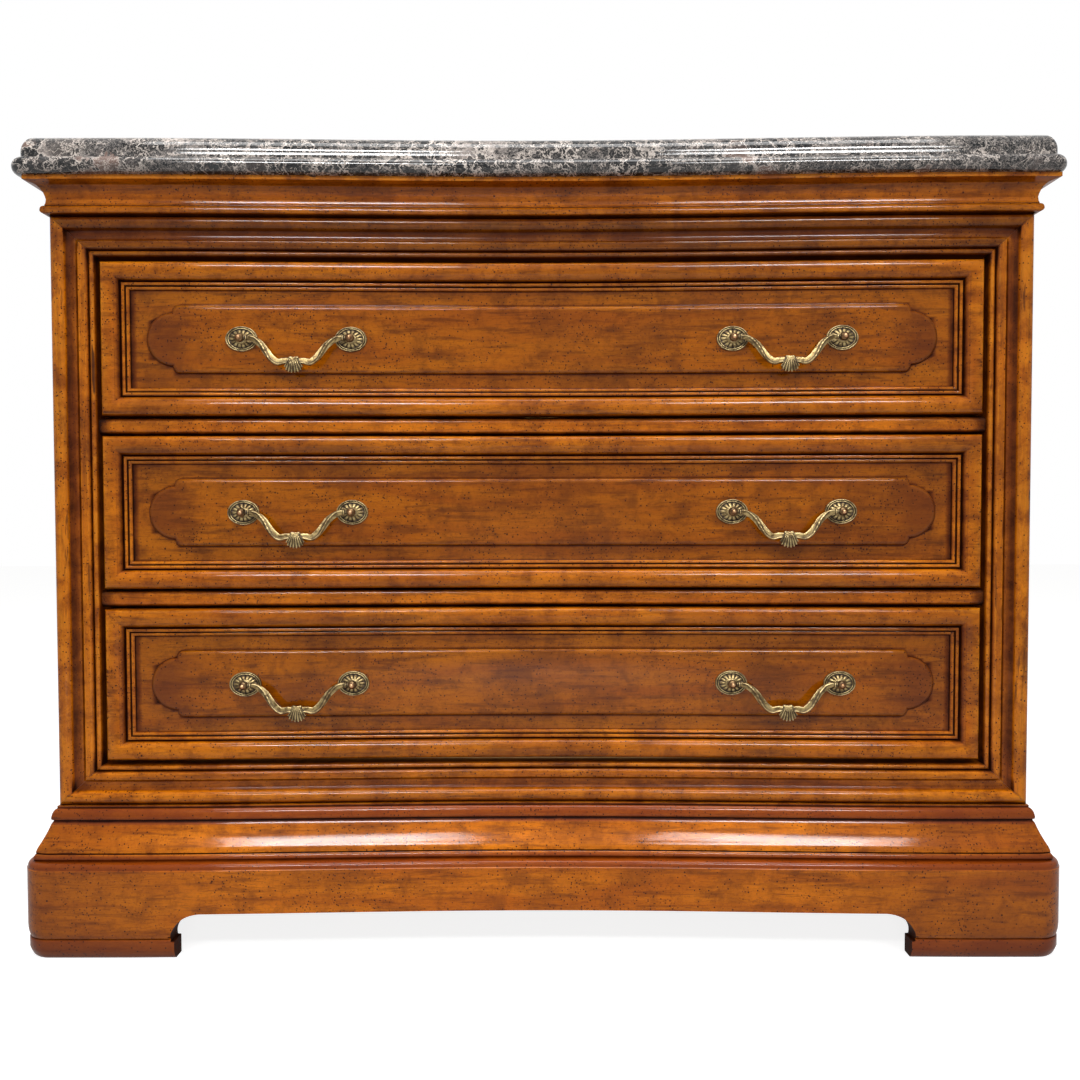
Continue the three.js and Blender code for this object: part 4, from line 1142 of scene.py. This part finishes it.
def marble():
    """Dark breccia: broken pieces of stone in many sizes and tones, with pale veins."""
    made, shader = material("marble")
    place = shader.add("TexCoord", output="Object")
    wander = shader.noise(place, 7, 4, 0.6, 0.6)
    drift = {"Vector": place, "Scale": 22.0, "Detail": 5.0, "Roughness": 0.68}
    drift = shader.add("TexNoise", {}, drift, "Color")
    bent = shader.add("Mix", {"data_type": "VECTOR"}, {0: 0.07, 4: place, 5: drift}, 1)
    clasts = shader.cells(bent, 34, "DISTANCE_TO_EDGE")
    chips = shader.cells(bent, 95, "DISTANCE_TO_EDGE")
    crumbs = shader.cells(bent, 210, "DISTANCE_TO_EDGE")
    tone = shader.chance(bent, 34)
    chip_tone = shader.chance(bent, 95)
    mud = shader.noise(bent, 60, 5, 0.7, 0.8)
    dust = shader.noise(place, 260, 4, 0.7, 0.4)
    ground = shader.mix(shader.ramp(tone, 0.2, 0.8), srgb(12, 15, 17), srgb(40, 41, 42))
    pale = shader.ramp(shader.chance(bent, 34, 1), 0.9, 0.92) * shader.ramp(mud, 0.36, 0.54)
    zone = shader.ramp(shader.noise(place, 11, 2, 0.5, 0.5), 0.44, 0.54)
    vein = shader.ramp(clasts, 0.04, 0.01) * shader.ramp(wander, 0.38, 0.6)
    thread = shader.ramp(chips, 0.06, 0.02) * shader.ramp(mud, 0.42, 0.56)
    hair = shader.ramp(crumbs, 0.08, 0.02) * shader.ramp(wander, 0.6, 0.42)
    for share, stone in (
        (shader.ramp(chip_tone, 0.55, 0.9) * 0.55, (74, 70, 68)),
        (shader.ramp(chip_tone, 0.32, 0.2) * 0.8, (9, 11, 13)),
        (shader.ramp(tone, 0.88, 0.92) * 0.6, (136, 108, 96)),
        (pale * 0.7, (176, 164, 156)),
        (shader.ramp(mud, 0.56, 0.62) * 0.5, (110, 96, 90)),
        (shader.ramp(dust, 0.57, 0.62) * 0.5, (150, 144, 140)),
        (zone * 0.75, (13, 15, 17)),
        (hair * 0.4, (176, 166, 160)),
        (thread * 0.8, (206, 194, 184)),
        (vein * 0.85, (222, 210, 200)),
    ):
        ground = shader.mix(share, ground, srgb(*stone))
    rough = shader.ramp(mud, 0.2, 0.8, 0.06, 0.1)
    bump = shader.bump(wander + mud * 0.1, 0.0004, 0.2)
    inputs = {"Base Color": ground, "Roughness": rough, "Normal": bump, "Specular IOR Level": 0.3}
    shader.finish(inputs)
    return made


fit(slab, "marble_top", "case", "marble", marble(), 40)

# ----------------------------------------------------------
# Glaze and painted shade: each point of the wood and the brass keeps the share of short rays from
# it that meet a neighbour, and how much it stands out. On the wood this darkens the hollows and
# where parts meet, partly as glaze rubbed in and partly as painted shade; on the brass, as patina.


def bend_of(piece):
    """How hollow (above 0) or round (below 0) the surface is at each point."""
    mesh = piece.data
    sums, counts = [0.0] * len(mesh.vertices), [0] * len(mesh.vertices)
    for edge in mesh.edges:
        for here, there in (edge.vertices, reversed(edge.vertices)):
            start = mesh.vertices[here]
            way = mesh.vertices[there].co - start.co
            if way.length < 0.02:
                sums[here] += way.dot(start.normal) / max(way.length, 1e-6)
                counts[here] += 1
    return [total / count if count else 0.0 for total, count in zip(sums, counts)]


def smoothed(piece, values):
    """Each point's value, averaged with those of its neighbours."""
    sums, counts = list(values), [1] * len(values)
    for edge in piece.data.edges:
        for here, there in (edge.vertices, reversed(edge.vertices)):
            sums[here] += values[there]
            counts[here] += 1
    return [total / count for total, count in zip(sums, counts)]


RAYS = 26
TURN = 2.39996  # the golden angle, which spreads the rays evenly


def glaze_and_shade_all(reach):
    """Stores the glaze with painted shade, and the wear, at each point, from rays as long as the
    reach of its slot.
    """
    points, faces = [], []
    for piece in glazed_and_shaded:
        start = len(points)
        points.extend(vertex.co.copy() for vertex in piece.data.vertices)
        faces.extend([start + i for i in face.vertices] for face in piece.data.polygons)
    tree = BVHTree.FromPolygons(points, faces)
    ways = []
    for i in range(RAYS):
        z = 1 - (2 * i + 1) / RAYS
        ring = math.sqrt(1 - z * z)
        ways.append(Vector((ring * math.cos(TURN * i), ring * math.sin(TURN * i), z)))
    for piece in glazed_and_shaded:
        far = reach[piece["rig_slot"]]
        shares = []
        for vertex in piece.data.vertices:
            normal = vertex.normal
            if normal.y > 0.6:  # it looks back, and gets neither glaze nor painted shade
                shares.append(0.0)
                continue
            spot = vertex.co + normal * 0.0002
            met = total = 0.0
            for way in ways:
                lean = way.dot(normal)
                if lean < 0.12:
                    continue
                total += lean
                hit = tree.ray_cast(spot, way, far)
                if hit[0] is not None:
                    met += lean * (1 - hit[3] / far * 0.6)
            shares.append(met / total if total else 0.0)
        bends = bend_of(piece)
        dark, light = (2.7, 8) if piece["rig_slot"] == "lacquered_wood" else (2.0, 4.5)
        if piece.name.startswith("drawer") and piece.name.endswith("_front"):
            shares = smoothed(piece, smoothed(piece, shares))
        if piece.name.startswith("plinth"):  # its long sawn faces would show streaks
            bends = [0.0] * len(bends)
        stored = {"glaze_and_shade": [], "wear": []}
        # The first value is glaze and painted shade, darker in hollows and where parts meet.
        for share, bend in zip(shares, bends):
            stored["glaze_and_shade"].append(min(1.0, share + max(0.0, bend) * dark))
            stored["wear"].append(min(1.0, max(0.0, -bend * light - share * 2.5)))
        for name, values in stored.items():
            piece.data.attributes.new(name, "FLOAT", "POINT").data.foreach_set("value", values)


glaze_and_shade_all({"lacquered_wood": 0.015, "brass": 0.004})
